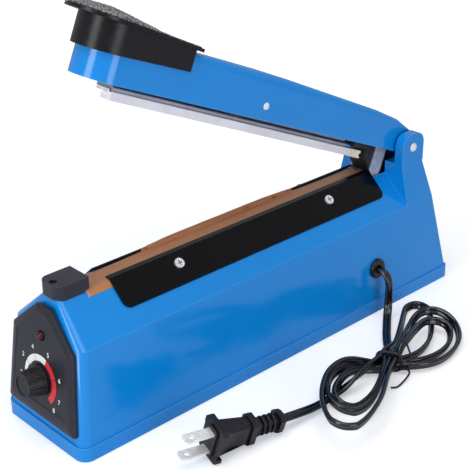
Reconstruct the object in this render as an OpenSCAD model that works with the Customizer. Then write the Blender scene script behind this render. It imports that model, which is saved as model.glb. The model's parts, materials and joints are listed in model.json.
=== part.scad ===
// Hand impulse heat sealer: a folded-lid bench sealer with a 200 mm seal, a timer knob and a mains lead.
// Millimetres. X runs along the machine, control panel at -X and hinge at +X; Z is up.
// The origin is the middle of the underside.

/* [Base] */
// Length of the bottom tray
base_l = 320; // [300:1:360]
// Width of the bottom tray
base_w = 75; // [72:1:84]
// Height of the bottom tray, up to the seam with the shell
tray_h = 8.8; // [7:0.1:11]
// How far the shell stands in from the tray at the seam
shell_step = 1.2; // [0.6:0.1:1.6]
// Wall of the shell
shell_wall = 2.5; // [2:0.1:3]
// Wall and floor of the tray
tray_wall = 3; // [2.6:0.1:3.6]
// Height of the crease where the sides turn inwards
crease_z = 65; // [62:0.5:68]
// How far each side leans in between the seam and the crease
side_lean = 4.8; // [4:0.1:6]
// Height of the flat ridge that carries the heating element
ridge_z = 86; // [84:0.5:88]
// Width of the flat ridge
ridge_w = 15.5; // [14.5:0.1:17]
// Rounding of the shell's front upright corners
corner_r = 6; // [4:0.5:8]
// Rounding of the shell's rear upright corners
rear_r = 3; // [2:0.5:5]

/* [Hinge] */
// Distance of the hinge axis from the rear edge of the tray
hinge_back = 31.7; // [30:0.1:34]
// Height of the hinge axis above the ridge
hinge_rise = 16.6; // [16.2:0.1:18]
// Radius of the hinge pin
pin_r = 3; // [2.5:0.1:3.5]
// Width across the outer faces of the two ears
ears_w = 50; // [48:0.5:52]
// Thickness of one ear
ear_t = 6.5; // [5.5:0.1:7]
// Length of an ear along the machine
ear_l = 21.5; // [20:0.5:23]

/* [Arm] */
// How far the arm stands open, in degrees
arm_open = 23.7; // [16:0.1:26]
// Outer width of the arm
arm_w = 33.4; // [32:0.2:34.4]
// How far the closed arm's round front stays behind the tray's front edge
arm_back = 17.3; // [8:0.1:26]
// Height of the arm's roof above the hinge axis, at the handle
arm_top = 21; // [19:0.5:23]
// Depth of the arm's lower edge below the hinge axis
arm_skirt = 6; // [5:0.2:7]
// Wall of the arm
arm_wall = 2.4; // [2:0.1:3]

/* [Handle] */
// Length of the handle cap along the arm
cap_l = 65; // [58:1:72]
// Wall of the handle cap
cap_wall = 1.1; // [0.8:0.1:1.6]
// How far the hand rest overhangs the cap at the front
rest_nose = 9; // [6:0.5:12]
// Height of the padded dome over the hand rest
pad_h = 4.6; // [3:0.2:6]

/* [Seal] */
// Distance of the silicone strip's rear end from the hinge axis
strip_back = 37.2; // [36.6:0.2:42]
// Width of the silicone strip
strip_w = 8.4; // [6:0.2:8.6]
// Distance of the press bar's rear end from the hinge axis
bar_back = 46; // [43:0.5:52]
// Distance of the press bar's pivot from the hinge axis
bar_pivot = 142; // [138:1:146]
// Thickness of the coated cover sheet
sheet_t = 0.3; // [0.2:0.05:0.5]
// Distance of the press plates from the cap over the front terminal
plate_back = 14; // [12:0.5:24]
// Thickness of the press plates
plate_t = 0.9; // [0.6:0.1:1.2]

/* [Controls] */
// Height of the timer knob's axis
knob_z = 37.5; // [34:0.5:40]
// Radius of the knob at the panel
knob_r = 9.2; // [8:0.1:10.4]
// Height of the knob
knob_h = 11.8; // [9:0.2:14]
// Number of flutes round the knob
knob_flutes = 20; // [12:1:24]
// How far the panel stands proud of the shell
panel_t = 3.2; // [2.6:0.1:4]
// Height of the indicator lamp
lamp_z = 64.5; // [61:0.5:67]

/* [Mains lead] */
// Width of the flat two-core lead
cord_w = 5.6; // [5:0.1:6]
// Height of the grommet's centre
grommet_z = 31.6; // [26:0.2:36]
// Distance of the grommet from the middle of the machine
grommet_x = 84.6; // [60:0.2:100]
// Spacing of the plug's blades
blade_gap = 12.7; // [12.5:0.1:12.9]

/* [Hidden] */
$fn = 48;

// Colours
blue = [0.07, 0.45, 0.87];
black = [0.09, 0.09, 0.10];
charcoal = [0.25, 0.25, 0.28];
steel = [0.72, 0.73, 0.75];
aluminium = [0.66, 0.66, 0.70];
brass = [0.80, 0.65, 0.33];
copper = [0.72, 0.42, 0.24];
rubber = [0.07, 0.07, 0.08];

// Small clearances that the pieces share
hair = 0.02;
running_gap = 0.06;
free_gap = 0.35;

// Places of the shell's faces
front_x = -base_l / 2;
rear_x = base_l / 2;
foot_w = base_w - 2 * shell_step;
crease_w = foot_w - 2 * side_lean;
front_foot_x = front_x + shell_step;
front_crease_x = front_x + 7.1;
front_ridge_x = front_x + 10.5;
rear_foot_x = rear_x - shell_step;
rear_crease_x = rear_x - 14.6;
rear_ridge_x = rear_x - 19.8;
front_slope = (front_crease_x - front_foot_x) / (crease_z - tray_h);
front_tilt = atan(front_slope);
side_tilt = atan(side_lean / (crease_z - tray_h));
roof_angle = atan2(ridge_z - crease_z, (crease_w - ridge_w) / 2);
roof_run = norm([ridge_z - crease_z, (crease_w - ridge_w) / 2]);

// Hinge and arm
hinge_x = rear_x - hinge_back;
hinge_z = ridge_z + hinge_rise;
arm_reach = hinge_x - front_x - arm_back;
ear_front_x = hinge_x - ear_l / 2;
ear_rear_x = hinge_x + ear_l / 2;
ear_in = ears_w / 2 - ear_t;
ear_top_r = 8;
ear_top_z = hinge_z + 9.5;
shelf_z = ridge_z + 6;
slot_half = 10.4;
slot_front_x = ear_front_x - 15.6;
slot_rear_x = ear_rear_x - 3;
arm_nose_r = arm_w / 2;
arm_nose_u = arm_reach - arm_nose_r;
arm_heel_r = 10;
roof_steps = [[13, 6.2], [37, 4], [70, 2.3], [100, 1.3], [130, 0.4], [170, 0]];

// Layers over the ridge, heights above it
tape_t = 0.3;
tape_half = 5.5;
element_t = 0.2;
sheet_top = tape_t + element_t + sheet_t;
sheet_reach = 4.6;
sheet_front_x = front_x + 29;
sheet_rear_x = slot_front_x - 0.6;
plate_reach = 19.4;
plate_lip_y = 4.6;
plate_screw_reach = 6.9;

// Cap over the front terminal
cap_x0 = front_x + 10.6;
cap_x1 = front_x + 32;
cap_half = 8.7;
cap_rise = 8.4;
cap_boss_x = front_x + 14.5;

// Press plates
plate_front_x = cap_x1 + plate_back;
plate_rear_x = slot_front_x + 2;
plate_l = plate_rear_x - plate_front_x;
plate_mid_x = (plate_front_x + plate_rear_x) / 2;
plate_screw_x = plate_l / 2 - 45.7;

// Press bar, in the arm's own directions
closed_gap = 0.4;
closed_lift = 0.3;
strip_low = sheet_top + closed_gap - hinge_rise - bar_pivot * sin(closed_lift);
strip_h = 5;
strip_top = strip_low + strip_h;
bar_droop = 0.45;
bar_pivot_v = 2.4;
bar_pin_r = 1.6;
bar_half_w = 7;
bar_front_u = hinge_x - cap_x1 - 7.3;
bar_l = bar_front_u - bar_back;
strip_front_u = bar_front_u - 1.8;
strip_l = strip_front_u - strip_back;
stop_l = 11;

// Lever that hangs from the arm into the base
lever_t = 1.2;
lever_out = 8.8;
lever_rear_u = 6.2;
lever_front_u = 16.4;
lever_low = -39;
hook_v = -36;
block_half = lever_out - lever_t;

// Insides
board_z = 52;
board_l = 70;
board_half = 20;
board_x = front_x + 22;
board_t = 1.6;
board_top = board_z + board_t;
leg_inset = 4;
relay_l = 19;
relay_half = 7.7;
relay_h = 15.4;
// Along the board, across it, radius, height
capacitors = [[12, -9, 5, 12], [14, 6, 4, 9], [26, 9, 3.2, 8]];
board_legs = [for (x = [leg_inset, board_l - leg_inset], y = [-1, 1])
    [board_x + x, y * (board_half - leg_inset)]];
transformer_x = 20;

// ---------------------------------------------------------------- shared shapes

// A block from one corner to the other
module span(low, high) {
    translate(low) cube(high - low);
}

// A cylinder along Y, centred on its length
module bar_y(r, l) {
    rotate([90, 0, 0]) cylinder(r = r, h = l, center = true);
}

// Flat outline with round corners, centred
module round_rect(l, w, r) {
    square([l - 2 * r, w], center = true);
    square([l, w - 2 * r], center = true);
    for (x = [-1, 1], y = [-1, 1])
        translate([x * (l / 2 - r), y * (w / 2 - r)]) circle(r);
}

// A point of the roof slope: the offset outwards from it, and the distance down from the ridge's corner
function roof_corner(off) = [ridge_w / 2 + off * tan(roof_angle / 2), ridge_z + off];
function roof_point(off, down) =
    roof_corner(off) + down * [cos(roof_angle), -sin(roof_angle)];
function mirrored(points) = [for (p = points) [-p[0], p[1]]];
function reversed(points) = [for (i = [len(points) - 1 : -1 : 0]) points[i]];

// An outline in the plane across the machine, pushed along X
module along_x(points, x0, x1) {
    translate([x0, 0, 0]) rotate([90, 0, 90]) linear_extrude(x1 - x0) polygon(points);
}

// An outline in the plane along the machine (X and Z), pushed across it
module across_y(half) {
    rotate([90, 0, 0]) linear_extrude(2 * half, center = true) children();
}

// Places its children on a roof slope, side 1 near and -1 far: x along the machine, y down the slope, z outwards
module on_roof(x, down, side = 1) {
    p = roof_point(0, down);
    mirror([0, side < 0 ? 1 : 0, 0])
        translate([x, -p[0], p[1]]) rotate([roof_angle, 0, 0]) mirror([0, 1, 0]) children();
}

// Places its children on the leaning front: z outwards along the panel's normal, y across, x up
module on_front(z, off = 0) {
    x = front_foot_x + (z - tray_h) * front_slope;
    translate([x, 0, z]) rotate([0, -90 + front_tilt, 0]) translate([0, 0, off]) children();
}

// Places its children on the arm: -x forwards from the hinge, z up from its axis
module on_arm() {
    translate([hinge_x, 0, hinge_z]) rotate([0, arm_open, 0]) children();
}

// ---------------------------------------------------------------- base

// One level of the shell: a thin plate with round corners, r0 at the front and r1 at the rear
module shell_level(x0, x1, w, z, r0, r1) {
    for (y = [-1, 1]) {
        translate([x0 + r0, y * (w / 2 - r0), z]) cylinder(r = r0, h = hair, $fn = 32);
        translate([x1 - r1, y * (w / 2 - r1), z]) cylinder(r = r1, h = hair, $fn = 24);
    }
}

// The six-sided body, drawn in by the given wall
module shell_form(inset) {
    hull() {
        shell_level(front_foot_x + inset, rear_foot_x - inset, foot_w - 2 * inset,
            tray_h - (inset > 0 ? 1 : 0), corner_r, rear_r);
        shell_level(front_crease_x + inset, rear_crease_x - inset, crease_w - 2 * inset,
            crease_z - inset * 0.35, corner_r, rear_r);
        shell_level(front_ridge_x + inset + 1, rear_ridge_x - inset, ridge_w - inset * 0.6,
            ridge_z - inset - hair, 3.4, 2.4);
    }
}

// The block that rises from the crease to carry the ears
module hinge_root(inset) {
    start = ear_front_x - 10;
    intersection() {
        span([ear_front_x + inset, -base_w / 2, crease_z], [rear_x, base_w / 2, shelf_z + 1]);
        hull() {
            shell_level(start, rear_crease_x - inset, crease_w - 2 * inset, crease_z, 1, rear_r);
            shell_level(start, rear_ridge_x - inset, ears_w + 0.5 - 2 * inset, ridge_z + 2.8 - inset / 2, 1, 2.6);
            shell_level(start, ear_rear_x - inset, ears_w - 2 * inset, shelf_z - inset - hair, 1, 2);
        }
    }
}

// Side view of an ear, with a round top
module ear_outline() {
    low = crease_z + 10;
    translate([ear_front_x, low]) square([ear_l, ear_top_z - ear_top_r - low]);
    translate([ear_front_x + ear_top_r, low]) square([ear_l - 2 * ear_top_r, ear_top_z - low]);
    for (x = [ear_front_x + ear_top_r, ear_rear_x - ear_top_r])
        translate([x, ear_top_z - ear_top_r]) circle(ear_top_r);
}

module ears() {
    for (side = [-1, 1])
        translate([0, side * (ears_w / 2 - ear_t / 2), 0]) across_y(ear_t / 2)
            intersection() {
                ear_outline();
                translate([ear_front_x, shelf_z - 1]) square([ear_l, ear_top_z]);
            }
}

// Places of the four screws that hold the tray
screw_spots = [for (x = [front_x + 13, rear_x - 15], y = [-1, 1]) [x, y * (foot_w / 2 - 7.4)]];

module base_shell() {
    color(blue) difference() {
        union() {
            difference() {
                union() {
                    shell_form(0);
                    hinge_root(0);
                    ears();
                }
                shell_form(shell_wall);
                hinge_root(shell_wall);
            }
            for (s = screw_spots)
                translate([s[0], s[1], tray_h]) cylinder(r = 3.4, h = 24);
            // Post under the ridge for the rear terminal
            span([slot_front_x - 12, -4, ridge_z - 9], [slot_front_x - 3, 4, ridge_z - 1]);
        }
        // Slot for the lever
        span([slot_front_x, -slot_half, ridge_z - 12], [slot_rear_x, slot_half, ear_top_z + 9]);
        translate([hinge_x, 0, hinge_z]) bar_y(pin_r, ears_w + 2);
        for (s = screw_spots)
            translate([s[0], s[1], tray_h - 1]) cylinder(r = 1.3, h = 21);
        on_front(knob_z, -5) cylinder(r = 3.6, h = 10);
        on_front(lamp_z, -5) cylinder(r = 2.6, h = 10);
        grommet_place() cylinder(r = 4.6, h = 12, center = true);
        for (side = [-1, 1], x = [-1, 1])
            on_roof(plate_mid_x + x * plate_screw_x, plate_screw_reach, side)
                translate([0, 0, -6]) cylinder(r = 1.2, h = 8);
        translate([cap_boss_x, 0, ridge_z - 9]) cylinder(r = 1.3, h = 12);
        // Slit for the element's rear end
        span([slot_front_x - 4.2, -1.6, ridge_z - 12], [slot_front_x - 3, 1.6, ridge_z + 1]);
    }
}

// Flat outline of the tray, drawn in by the given wall
module tray_outline(inset) {
    front = corner_r + 1 - inset / 2;
    rear = rear_r + 1 - inset / 2;
    hull() for (y = [-1, 1]) {
        translate([front_x + inset + front, y * (base_w / 2 - inset - front)]) circle(front);
        translate([rear_x - inset - rear, y * (base_w / 2 - inset - rear)]) circle(rear);
    }
}

module base_tray() {
    color(blue) difference() {
        linear_extrude(tray_h) tray_outline(0);
        translate([0, 0, tray_wall]) linear_extrude(tray_h) tray_outline(tray_wall);
        for (s = screw_spots) translate([s[0], s[1], -1]) {
            cylinder(r = 1.7, h = 10);
            cylinder(r = 3.4, h = 2.2);
        }
        for (p = pad_spots) translate([p[0], p[1], -1]) cylinder(r = 6, h = 2.2);
        for (x = [-1, 1])
            translate([transformer_x + x * transformer_hole, 0, -1]) cylinder(r = 1.7, h = 10);
        for (i = [-4 : 4])
            translate([-70 + i * 6, 0, -1]) linear_extrude(10) round_rect(2.4, 26, 1.2);
    }
    // Posts under the shell's screw bosses
    color(blue) for (s = screw_spots) translate([s[0], s[1], tray_wall]) difference() {
        cylinder(r = 3.4, h = tray_h - tray_wall);
        translate([0, 0, -1]) cylinder(r = 1.7, h = tray_h);
    }
}

pad_spots = [for (x = [-1, 1], y = [-1, 1]) [x * (base_l / 2 - 32), y * (base_w / 2 - 14)]];
transformer_hole = 27;

module tray_pads() {
    color(rubber) for (p = pad_spots) translate([p[0], p[1], 0]) cylinder(r = 5.95, h = 1.2);
}

// A cross-head screw, its head's top at z = 0 and its shank downwards
module screw(head_r, head_h, shank_r, l) {
    difference() {
        union() {
            translate([0, 0, -head_h]) cylinder(r = head_r, h = head_h);
            translate([0, 0, -head_h - l]) cylinder(r = shank_r, h = l + hair);
        }
        for (a = [0, 90]) rotate([0, 0, a])
            translate([0, 0, -head_h * 0.3])
                cube([head_r * 1.2, head_r * 0.24, head_h * 0.8], center = true);
    }
}

module tray_screws() {
    color(steel) for (s = screw_spots)
        translate([s[0], s[1], 0.1]) mirror([0, 0, 1]) screw(3, 1.1, 1.25, 20);
}

// ---------------------------------------------------------------- front panel and controls

// Outline of the panel: x up the front from the knob's height, y across
panel_low = tray_h + 4.6 - knob_z;
panel_shoulder = crease_z - 2.2 - knob_z;
panel_high = ridge_z - 3.8 - knob_z;
function panel_side(inset) = [
    [panel_low + inset, base_w / 2 - 5.9 - inset],
    [panel_shoulder - inset * 0.3, crease_w / 2 - 3.6 - inset],
    [panel_high - inset, ridge_w / 2 - 2 - inset * 0.4]];
function panel_points(inset) = concat(panel_side(inset),
    [for (i = [2, 1, 0]) [panel_side(inset)[i][0], -panel_side(inset)[i][1]]]);

// The outline with round corners
module panel_outline(inset) {
    offset(r = 2, $fn = 32) offset(delta = -2) polygon(panel_points(inset));
}

module front_panel() {
    bevel = 3.8;
    edge = panel_t - 1;
    rim = 0.35;
    face = [[panel_low + 8.4, base_w / 2 - 11], [panel_shoulder - 1.6, crease_w / 2 - 8.7],
        [panel_high - 4.8, ridge_w / 2 - 3.9]];
    color(charcoal) on_front(knob_z) difference() {
        hull() {
            linear_extrude(edge) panel_outline(0);
            linear_extrude(panel_t + rim) panel_outline(bevel);
        }
        // The flat face inside the rim
        translate([0, 0, panel_t]) linear_extrude(1) offset(r = 1, $fn = 24) offset(delta = -1)
            polygon(concat(face, [for (i = [2, 1, 0]) [face[i][0], -face[i][1]]]));
        translate([(lamp_z - knob_z) / cos(front_tilt), 0, panel_t - 1]) cylinder(r1 = 2.6, r2 = 3.3, h = 1 + hair);
        translate([0, 0, -1]) cylinder(r = 3.6, h = panel_t + 2);
        translate([(lamp_z - knob_z) / cos(front_tilt), 0, -1]) cylinder(r = 2.6, h = panel_t + 2);
    }
}

// Printed scale round the knob, as a thin ring with its ticks cut out
dial_r = 14.8;
dial_in = 11;
dial_first = -140;
dial_last = 137;
// A point of the scale, its angle clockwise from the top
function dial_point(r, angle) = [r * cos(angle), -r * sin(angle)];

module timer_dial() {
    color("white") on_front(knob_z, panel_t) difference() {
        linear_extrude(0.12) difference() {
            circle(dial_r, $fn = 96);
            circle(dial_in, $fn = 96);
            polygon([[0, 0], dial_point(2 * dial_r, dial_last), dial_point(3 * dial_r, 180),
                dial_point(2 * dial_r, dial_first)]);
        }
    }
}

module indicator_lamp() {
    color("darkred") on_front(lamp_z) {
        translate([0, 0, -7]) cylinder(r = 2.5, h = 7 + panel_t);
        translate([0, 0, panel_t - hair]) difference() {
            sphere(r = 2.5);
            translate([0, 0, -3]) cube(6, center = true);
        }
    }
}

module potentiometer_body() {
    color(steel) on_front(knob_z, -shell_wall - 0.15) {
        translate([0, 0, -8.5]) cylinder(r = 8, h = 8.5);
        difference() {
            translate([0, 0, -hair]) cylinder(r = 3.5, h = shell_wall + panel_t - 0.2);
            cylinder(r = 3 + running_gap, h = 20);
        }
    }
}

module knob_shaft() {
    color(brass) on_front(knob_z, -shell_wall + 0.6)
        cylinder(r = 3, h = panel_t + free_gap + knob_bore - 0.1 + shell_wall - 0.6);
}

knob_bore = 6.2;

// A tapered knob with flutes that run down to its skirt
module timer_knob() {
    face_r = knob_r - 2;
    color(black) on_front(knob_z, panel_t + free_gap) difference() {
        union() {
            cylinder(r = knob_r, h = 1.6);
            cylinder(r1 = knob_r - 0.3, r2 = face_r, h = knob_h);
        }
        for (i = [0 : knob_flutes - 1]) rotate([0, 0, (i + 0.5) * 360 / knob_flutes])
            translate([knob_r - 0.1, 0, 1.6]) rotate([0, -atan2(knob_r - face_r, knob_h), 0])
                cylinder(r = 0.75, h = knob_h + 3, $fn = 12);
        // Shallow dish in the face
        translate([0, 0, knob_h - 0.5]) cylinder(r = face_r - 1.3, h = 2);
        translate([0, 0, -1]) cylinder(r = 3, h = 1 + knob_bore);
        // Tapped hole for the set screw
        translate([0, 0, 3.6]) rotate([0, -90, 0]) cylinder(r = 1, h = knob_r + 2);
    }
}

module knob_set_screw() {
    color(steel) on_front(knob_z, panel_t + free_gap)
        translate([0, 0, 3.6]) rotate([0, -90, 0]) translate([0, 0, 3]) cylinder(r = 1, h = 4);
}

// ---------------------------------------------------------------- electrics inside

module timer_board() {
    color([0.12, 0.35, 0.16]) difference() {
        span([board_x, -board_half, board_z], [board_x + board_l, board_half, board_top]);
        for (p = board_legs) translate([p[0], p[1], board_z - 1]) cylinder(r = 1.6, h = board_t + 2);
    }
    // Legs that stand the board on the tray's floor
    color("ivory") for (p = board_legs) translate([p[0], p[1], tray_wall]) {
        cylinder(r = 2.6, h = board_z - tray_wall);
        cylinder(r = 1.6, h = board_top - tray_wall);
    }
}

module board_relay() {
    color([0.1, 0.25, 0.6])
        span([board_x + 38, -relay_half, board_top], [board_x + 38 + relay_l, relay_half, board_top + relay_h]);
}

module board_capacitors() {
    color([0.15, 0.15, 0.3]) for (p = capacitors)
        translate([board_x + p[0], p[1], board_top]) {
            cylinder(r = p[2], h = p[3]);
            cylinder(r = p[2] - 0.8, h = p[3] + 0.4);
        }
}

// Laminated frame with two windows for the winding, and the strap that bolts it down
core_l = 42;
core_h = 36;
core_t = 22;
module transformer_core() {
    color(steel) {
        translate([transformer_x, 0, tray_wall + core_h / 2 + 1.2]) across_y(core_t / 2) difference() {
            square([core_l, core_h], center = true);
            for (x = [-1, 1]) translate([x * 10.5, 0]) square([9, core_h - 14], center = true);
        }
        difference() {
            translate([transformer_x, 0, tray_wall])
                linear_extrude(1.2) round_rect(2 * transformer_hole + 10, 14, 3);
            for (x = [-1, 1]) translate([transformer_x + x * transformer_hole, 0, 0]) cylinder(r = 1.7, h = 20);
        }
    }
}

module transformer_coil() {
    half = (core_h - 14) / 2;
    color(copper) translate([transformer_x, 0, tray_wall + core_h / 2 + 1.2]) difference() {
        linear_extrude(2 * half - 0.4, center = true) round_rect(29.4, core_t + 18, 6);
        linear_extrude(2 * half + 1, center = true) square([12 + hair, core_t + hair], center = true);
    }
}

module transformer_screws() {
    color(steel) for (x = [-1, 1])
        translate([transformer_x + x * transformer_hole, 0, 0]) {
            translate([0, 0, -hair + 0.5]) cylinder(r = 1.6, h = tray_wall + 3);
            translate([0, 0, tray_wall + 1.2]) difference() {
                cylinder(r = 3.2, h = 2.2, $fn = 6);
                translate([0, 0, 1.6]) cube([8, 0.8, 1.4], center = true);
            }
        }
}

// The switch that the lever closes: a snap-action body on a bracket from the tray
plunger_travel = 1.6;
switch_face_x = hinge_x - lever_rear_u + free_gap - plunger_travel;
switch_z = hinge_z - 34;
switch_holes = [-9, 3];
module microswitch_body() {
    color(black) difference() {
        span([switch_face_x + 2, -5.2, switch_z - 13], [switch_face_x + 12, 5.2, switch_z + 6]);
        translate([switch_face_x, 0, switch_z]) rotate([0, 90, 0]) cylinder(r = 1.5 + running_gap, h = 7);
        for (z = switch_holes) translate([switch_face_x + 9, 0, switch_z + z]) bar_y(1.5, 20);
    }
}

// Bracket that stands on the tray
module microswitch_bracket() {
    color(steel) difference() {
        union() {
            span([switch_face_x + 2, 5.2, tray_wall], [switch_face_x + 12, 6.6, switch_z + 6]);
            span([switch_face_x + 2, 5.2, tray_wall], [switch_face_x + 12, 16, tray_wall + 1.4]);
        }
        for (z = switch_holes) translate([switch_face_x + 9, 0, switch_z + z]) bar_y(1.5, 20);
    }
}

module microswitch_plunger() {
    color("ivory") translate([switch_face_x, 0, switch_z]) rotate([0, 90, 0]) cylinder(r = 1.5, h = 4.6);
}

module microswitch_screws() {
    color(steel) for (z = switch_holes) translate([switch_face_x + 9, 0, switch_z + z]) {
        translate([0, 0.4, 0]) bar_y(1.5, 13.4);
        translate([0, -6.2, 0]) bar_y(2.6, 2);
    }
}

// Post that holds the front end of the return spring
anchor_x = 66;
anchor_z = 58;
module spring_anchor() {
    color(steel) {
        difference() {
            span([anchor_x - 1.5, -7, tray_wall], [anchor_x, 7, anchor_z + 5]);
            translate([anchor_x - 3, 0, anchor_z + 1.6]) rotate([0, 90, 0]) cylinder(r = 1.3, h = 6);
        }
        span([anchor_x - 12, -7, tray_wall], [anchor_x, 7, tray_wall + 1.5]);
    }
}

// ---------------------------------------------------------------- sealing parts on the ridge

module element_insulation() {
    color([0.93, 0.9, 0.8])
        span([cap_x1 + 1, -tape_half, ridge_z], [slot_front_x - 6, tape_half, ridge_z + tape_t]);
}

// Flat resistance strip: its rear end turns down through the slit
module heating_element() {
    rear = slot_front_x - 3.4;
    color(steel) {
        span([front_x + 22, -1, ridge_z + tape_t], [rear, 1, ridge_z + tape_t + element_t]);
        span([rear - element_t, -1, ridge_z - 8], [rear, 1, ridge_z + tape_t + element_t]);
    }
}

module front_terminal() {
    color(brass) span([front_x + 18, -4, ridge_z], [front_x + 27, 4, ridge_z + tape_t]);
    color(brass) difference() {
        span([front_x + 18.5, -3.4, ridge_z + tape_t + element_t], [front_x + 26.5, 3.4, ridge_z + 4]);
        translate([front_x + 22.5, 0, ridge_z + 2]) cylinder(r = 1.5, h = 4);
    }
}

module rear_terminal() {
    low = ridge_z - 8.6;
    color(brass) {
        span([slot_front_x - 3, -3, low], [slot_front_x - 1.2, 3, ridge_z - 3.2]);
        span([slot_front_x - 3.4, -1.4, low], [slot_front_x - 3 + hair, 1.4, ridge_z - 3.2]);
    }
}

// Cap over the front terminal: round nose, flat back, open underneath
module terminal_cap_outline(inset) {
    r = 5.4;
    x0 = cap_x0 + inset;
    x1 = cap_x1 - inset;
    half = cap_half - inset;
    translate([x0 + r, -half]) square([x1 - x0 - r, 2 * half]);
    translate([x0, -half + r]) square([r + 1, 2 * (half - r)]);
    for (y = [-1, 1]) translate([x0 + r, y * (half - r)]) circle(r);
}

module terminal_cap() {
    roof = roof_corner(0);
    skirt = ridge_z - 1.6;
    color(charcoal) difference() {
        translate([0, 0, skirt]) linear_extrude(cap_rise + 1.6) terminal_cap_outline(0);
        translate([0, 0, skirt - 1]) linear_extrude(cap_rise + 1.6 + 1 - 2) difference() {
            terminal_cap_outline(1.6);
            translate([cap_boss_x, 0]) circle(3.4);
        }
        // Seat on the ridge and the roof slopes
        along_x(concat([roof_point(0, 12), roof], reversed(mirrored([roof_point(0, 12), roof]))),
            front_x, front_x + 60);
        span([cap_x1 - 3, -sheet_reach - roof[0], ridge_z - 6], [cap_x1 + 3, sheet_reach + roof[0], ridge_z + sheet_top + 0.1]);
        translate([cap_boss_x, 0, ridge_z - 3]) cylinder(r = 1.6, h = 20);
        translate([cap_boss_x, 0, ridge_z + cap_rise - 4.2]) cylinder(r = 2.4, h = 6);
    }
}

module terminal_cap_screw() {
    color(steel) translate([cap_boss_x, 0, ridge_z + cap_rise - 3]) screw(2.2, 1.2, 1.3, 11.2);
}

// Coated glass cloth folded over the ridge
module cover_sheet() {
    flat = tape_t + element_t;
    inner = [roof_point(0.04, sheet_reach), roof_corner(0.04), [ridge_w / 2 - 1.2, ridge_z + flat]];
    outer = [roof_point(sheet_t, sheet_reach), roof_corner(sheet_t), [ridge_w / 2 - 1, ridge_z + flat + sheet_t]];
    color([0.62, 0.4, 0.25]) along_x(concat(reversed(outer), inner, reversed(mirrored(inner)), mirrored(outer)),
        sheet_front_x, sheet_rear_x);
}

// Section of a press plate: down the roof slope, with a lip over the ridge
function plate_section(lip_y, lip_t) = [
    roof_point(sheet_t, plate_reach), roof_corner(sheet_top), [lip_y, ridge_z + sheet_top],
    [lip_y, ridge_z + sheet_top + lip_t], roof_corner(sheet_top + plate_t),
    roof_point(sheet_t + plate_t, plate_reach)];

// The plate with the corners of its lower edge rounded, one side or the other
module press_plate(side, lip_y, lip_t) {
    r = 5;
    half = plate_l / 2;
    difference() {
        intersection() {
            mirror([0, side > 0 ? 1 : 0, 0])
                along_x(plate_section(lip_y, lip_t), plate_mid_x - half, plate_mid_x + half);
            on_roof(plate_mid_x, 0, side) translate([0, 0, -4]) linear_extrude(12) {
                translate([-half, -12]) square([2 * half, plate_reach - r + 12]);
                translate([-half + r, -12]) square([2 * half - 2 * r, plate_reach + 12]);
                for (x = [-1, 1]) translate([x * (half - r), plate_reach - r]) circle(r);
            }
        }
        for (x = [-1, 1])
            on_roof(plate_mid_x + x * plate_screw_x, plate_screw_reach, side)
                translate([0, 0, -2]) cylinder(r = 1.6, h = 6);
    }
}

module press_plate_near() {
    color(black) press_plate(1, plate_lip_y, plate_t);
}

module press_plate_far() {
    color(black) press_plate(-1, ridge_w / 2 - 0.8, plate_t * 0.6);
}

// Height of the plate's face over the roof slope at its screws
plate_seat = sheet_top + (sheet_t - sheet_top) * plate_screw_reach / plate_reach + plate_t + 0.1;
module press_plate_screws() {
    color(steel) for (side = [-1, 1], x = [-1, 1])
        on_roof(plate_mid_x + x * plate_screw_x, plate_screw_reach, side)
            translate([0, 0, plate_seat + 1.3]) screw(3, 1.3, 1.2, 6);
}

// ---------------------------------------------------------------- arm

// One station of the arm: a section with its top edges rounded
module arm_station(u, top, half, low, r) {
    translate([-u, 0, 0]) rotate([90, 0, 90]) linear_extrude(hair) {
        translate([-half, low]) square([2 * half, top - r - low]);
        translate([-half + r, low]) square([2 * half - 2 * r, top - low]);
        for (y = [-1, 1]) translate([y * (half - r), top - r]) circle(r, $fn = 24);
    }
}

// The arm's outer form, drawn in by the given wall
module arm_form(inset) {
    half = arm_w / 2 - inset;
    low = inset > 0 ? -30 : -arm_skirt;
    nose = arm_nose_r - inset;
    top = arm_top - inset;
    r = 3 - inset * 0.7;
    hull() {
        for (s = roof_steps) arm_station(s[0], top - s[1], half, low, r);
        arm_station(arm_nose_u, top, half, low, r);
        translate([-arm_nose_u, 0, low]) cylinder(r = nose, h = top - r - low, $fn = 64);
        translate([-arm_nose_u, 0, top - r]) cylinder(r1 = nose, r2 = nose - r, h = r, $fn = 64);
        intersection() {
            bar_y(arm_heel_r - inset, 2 * half);
            translate([0, 0, 15 - arm_skirt]) cube([40, 60, 30], center = true);
        }
    }
}

module arm_shell() {
    color(blue) on_arm() difference() {
        arm_form(0);
        intersection() {
            arm_form(arm_wall);
            span([-arm_reach, -arm_w, -arm_skirt - 5], [arm_heel_r, arm_w, arm_top]);
        }
        bar_y(pin_r + running_gap, arm_w + 2);
        translate([-bar_pivot, 0, bar_pivot_v]) bar_y(bar_pin_r, arm_w + 2);
        for (u = cap_screw_u) translate([-u, 0, arm_top - 8]) cylinder(r = 1.5, h = 12);
    }
}

// Plan outline with a round nose, from the heel u0 to the nose u1
module nose_outline(u0, u1, half) {
    translate([-u1 + half, -half]) square([u1 - half - u0, 2 * half]);
    translate([-u1 + half, 0]) circle(half, $fn = 96);
}

cap_u0 = arm_reach - cap_l + 3;
cap_u1 = arm_reach + 3.4;
rest_u0 = cap_u0 - 3.6;
rest_u1 = cap_u1 + rest_nose;
rest_t = 2.3;
rest_slope = 0.052;
rest_low = arm_top + 1.3;
cap_skirt = arm_top / 2;
cap_screw_u = [cap_u0 + 14, cap_u1 - 22];
function rest_v(u) = rest_low + (u - cap_u0) * rest_slope;

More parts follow.
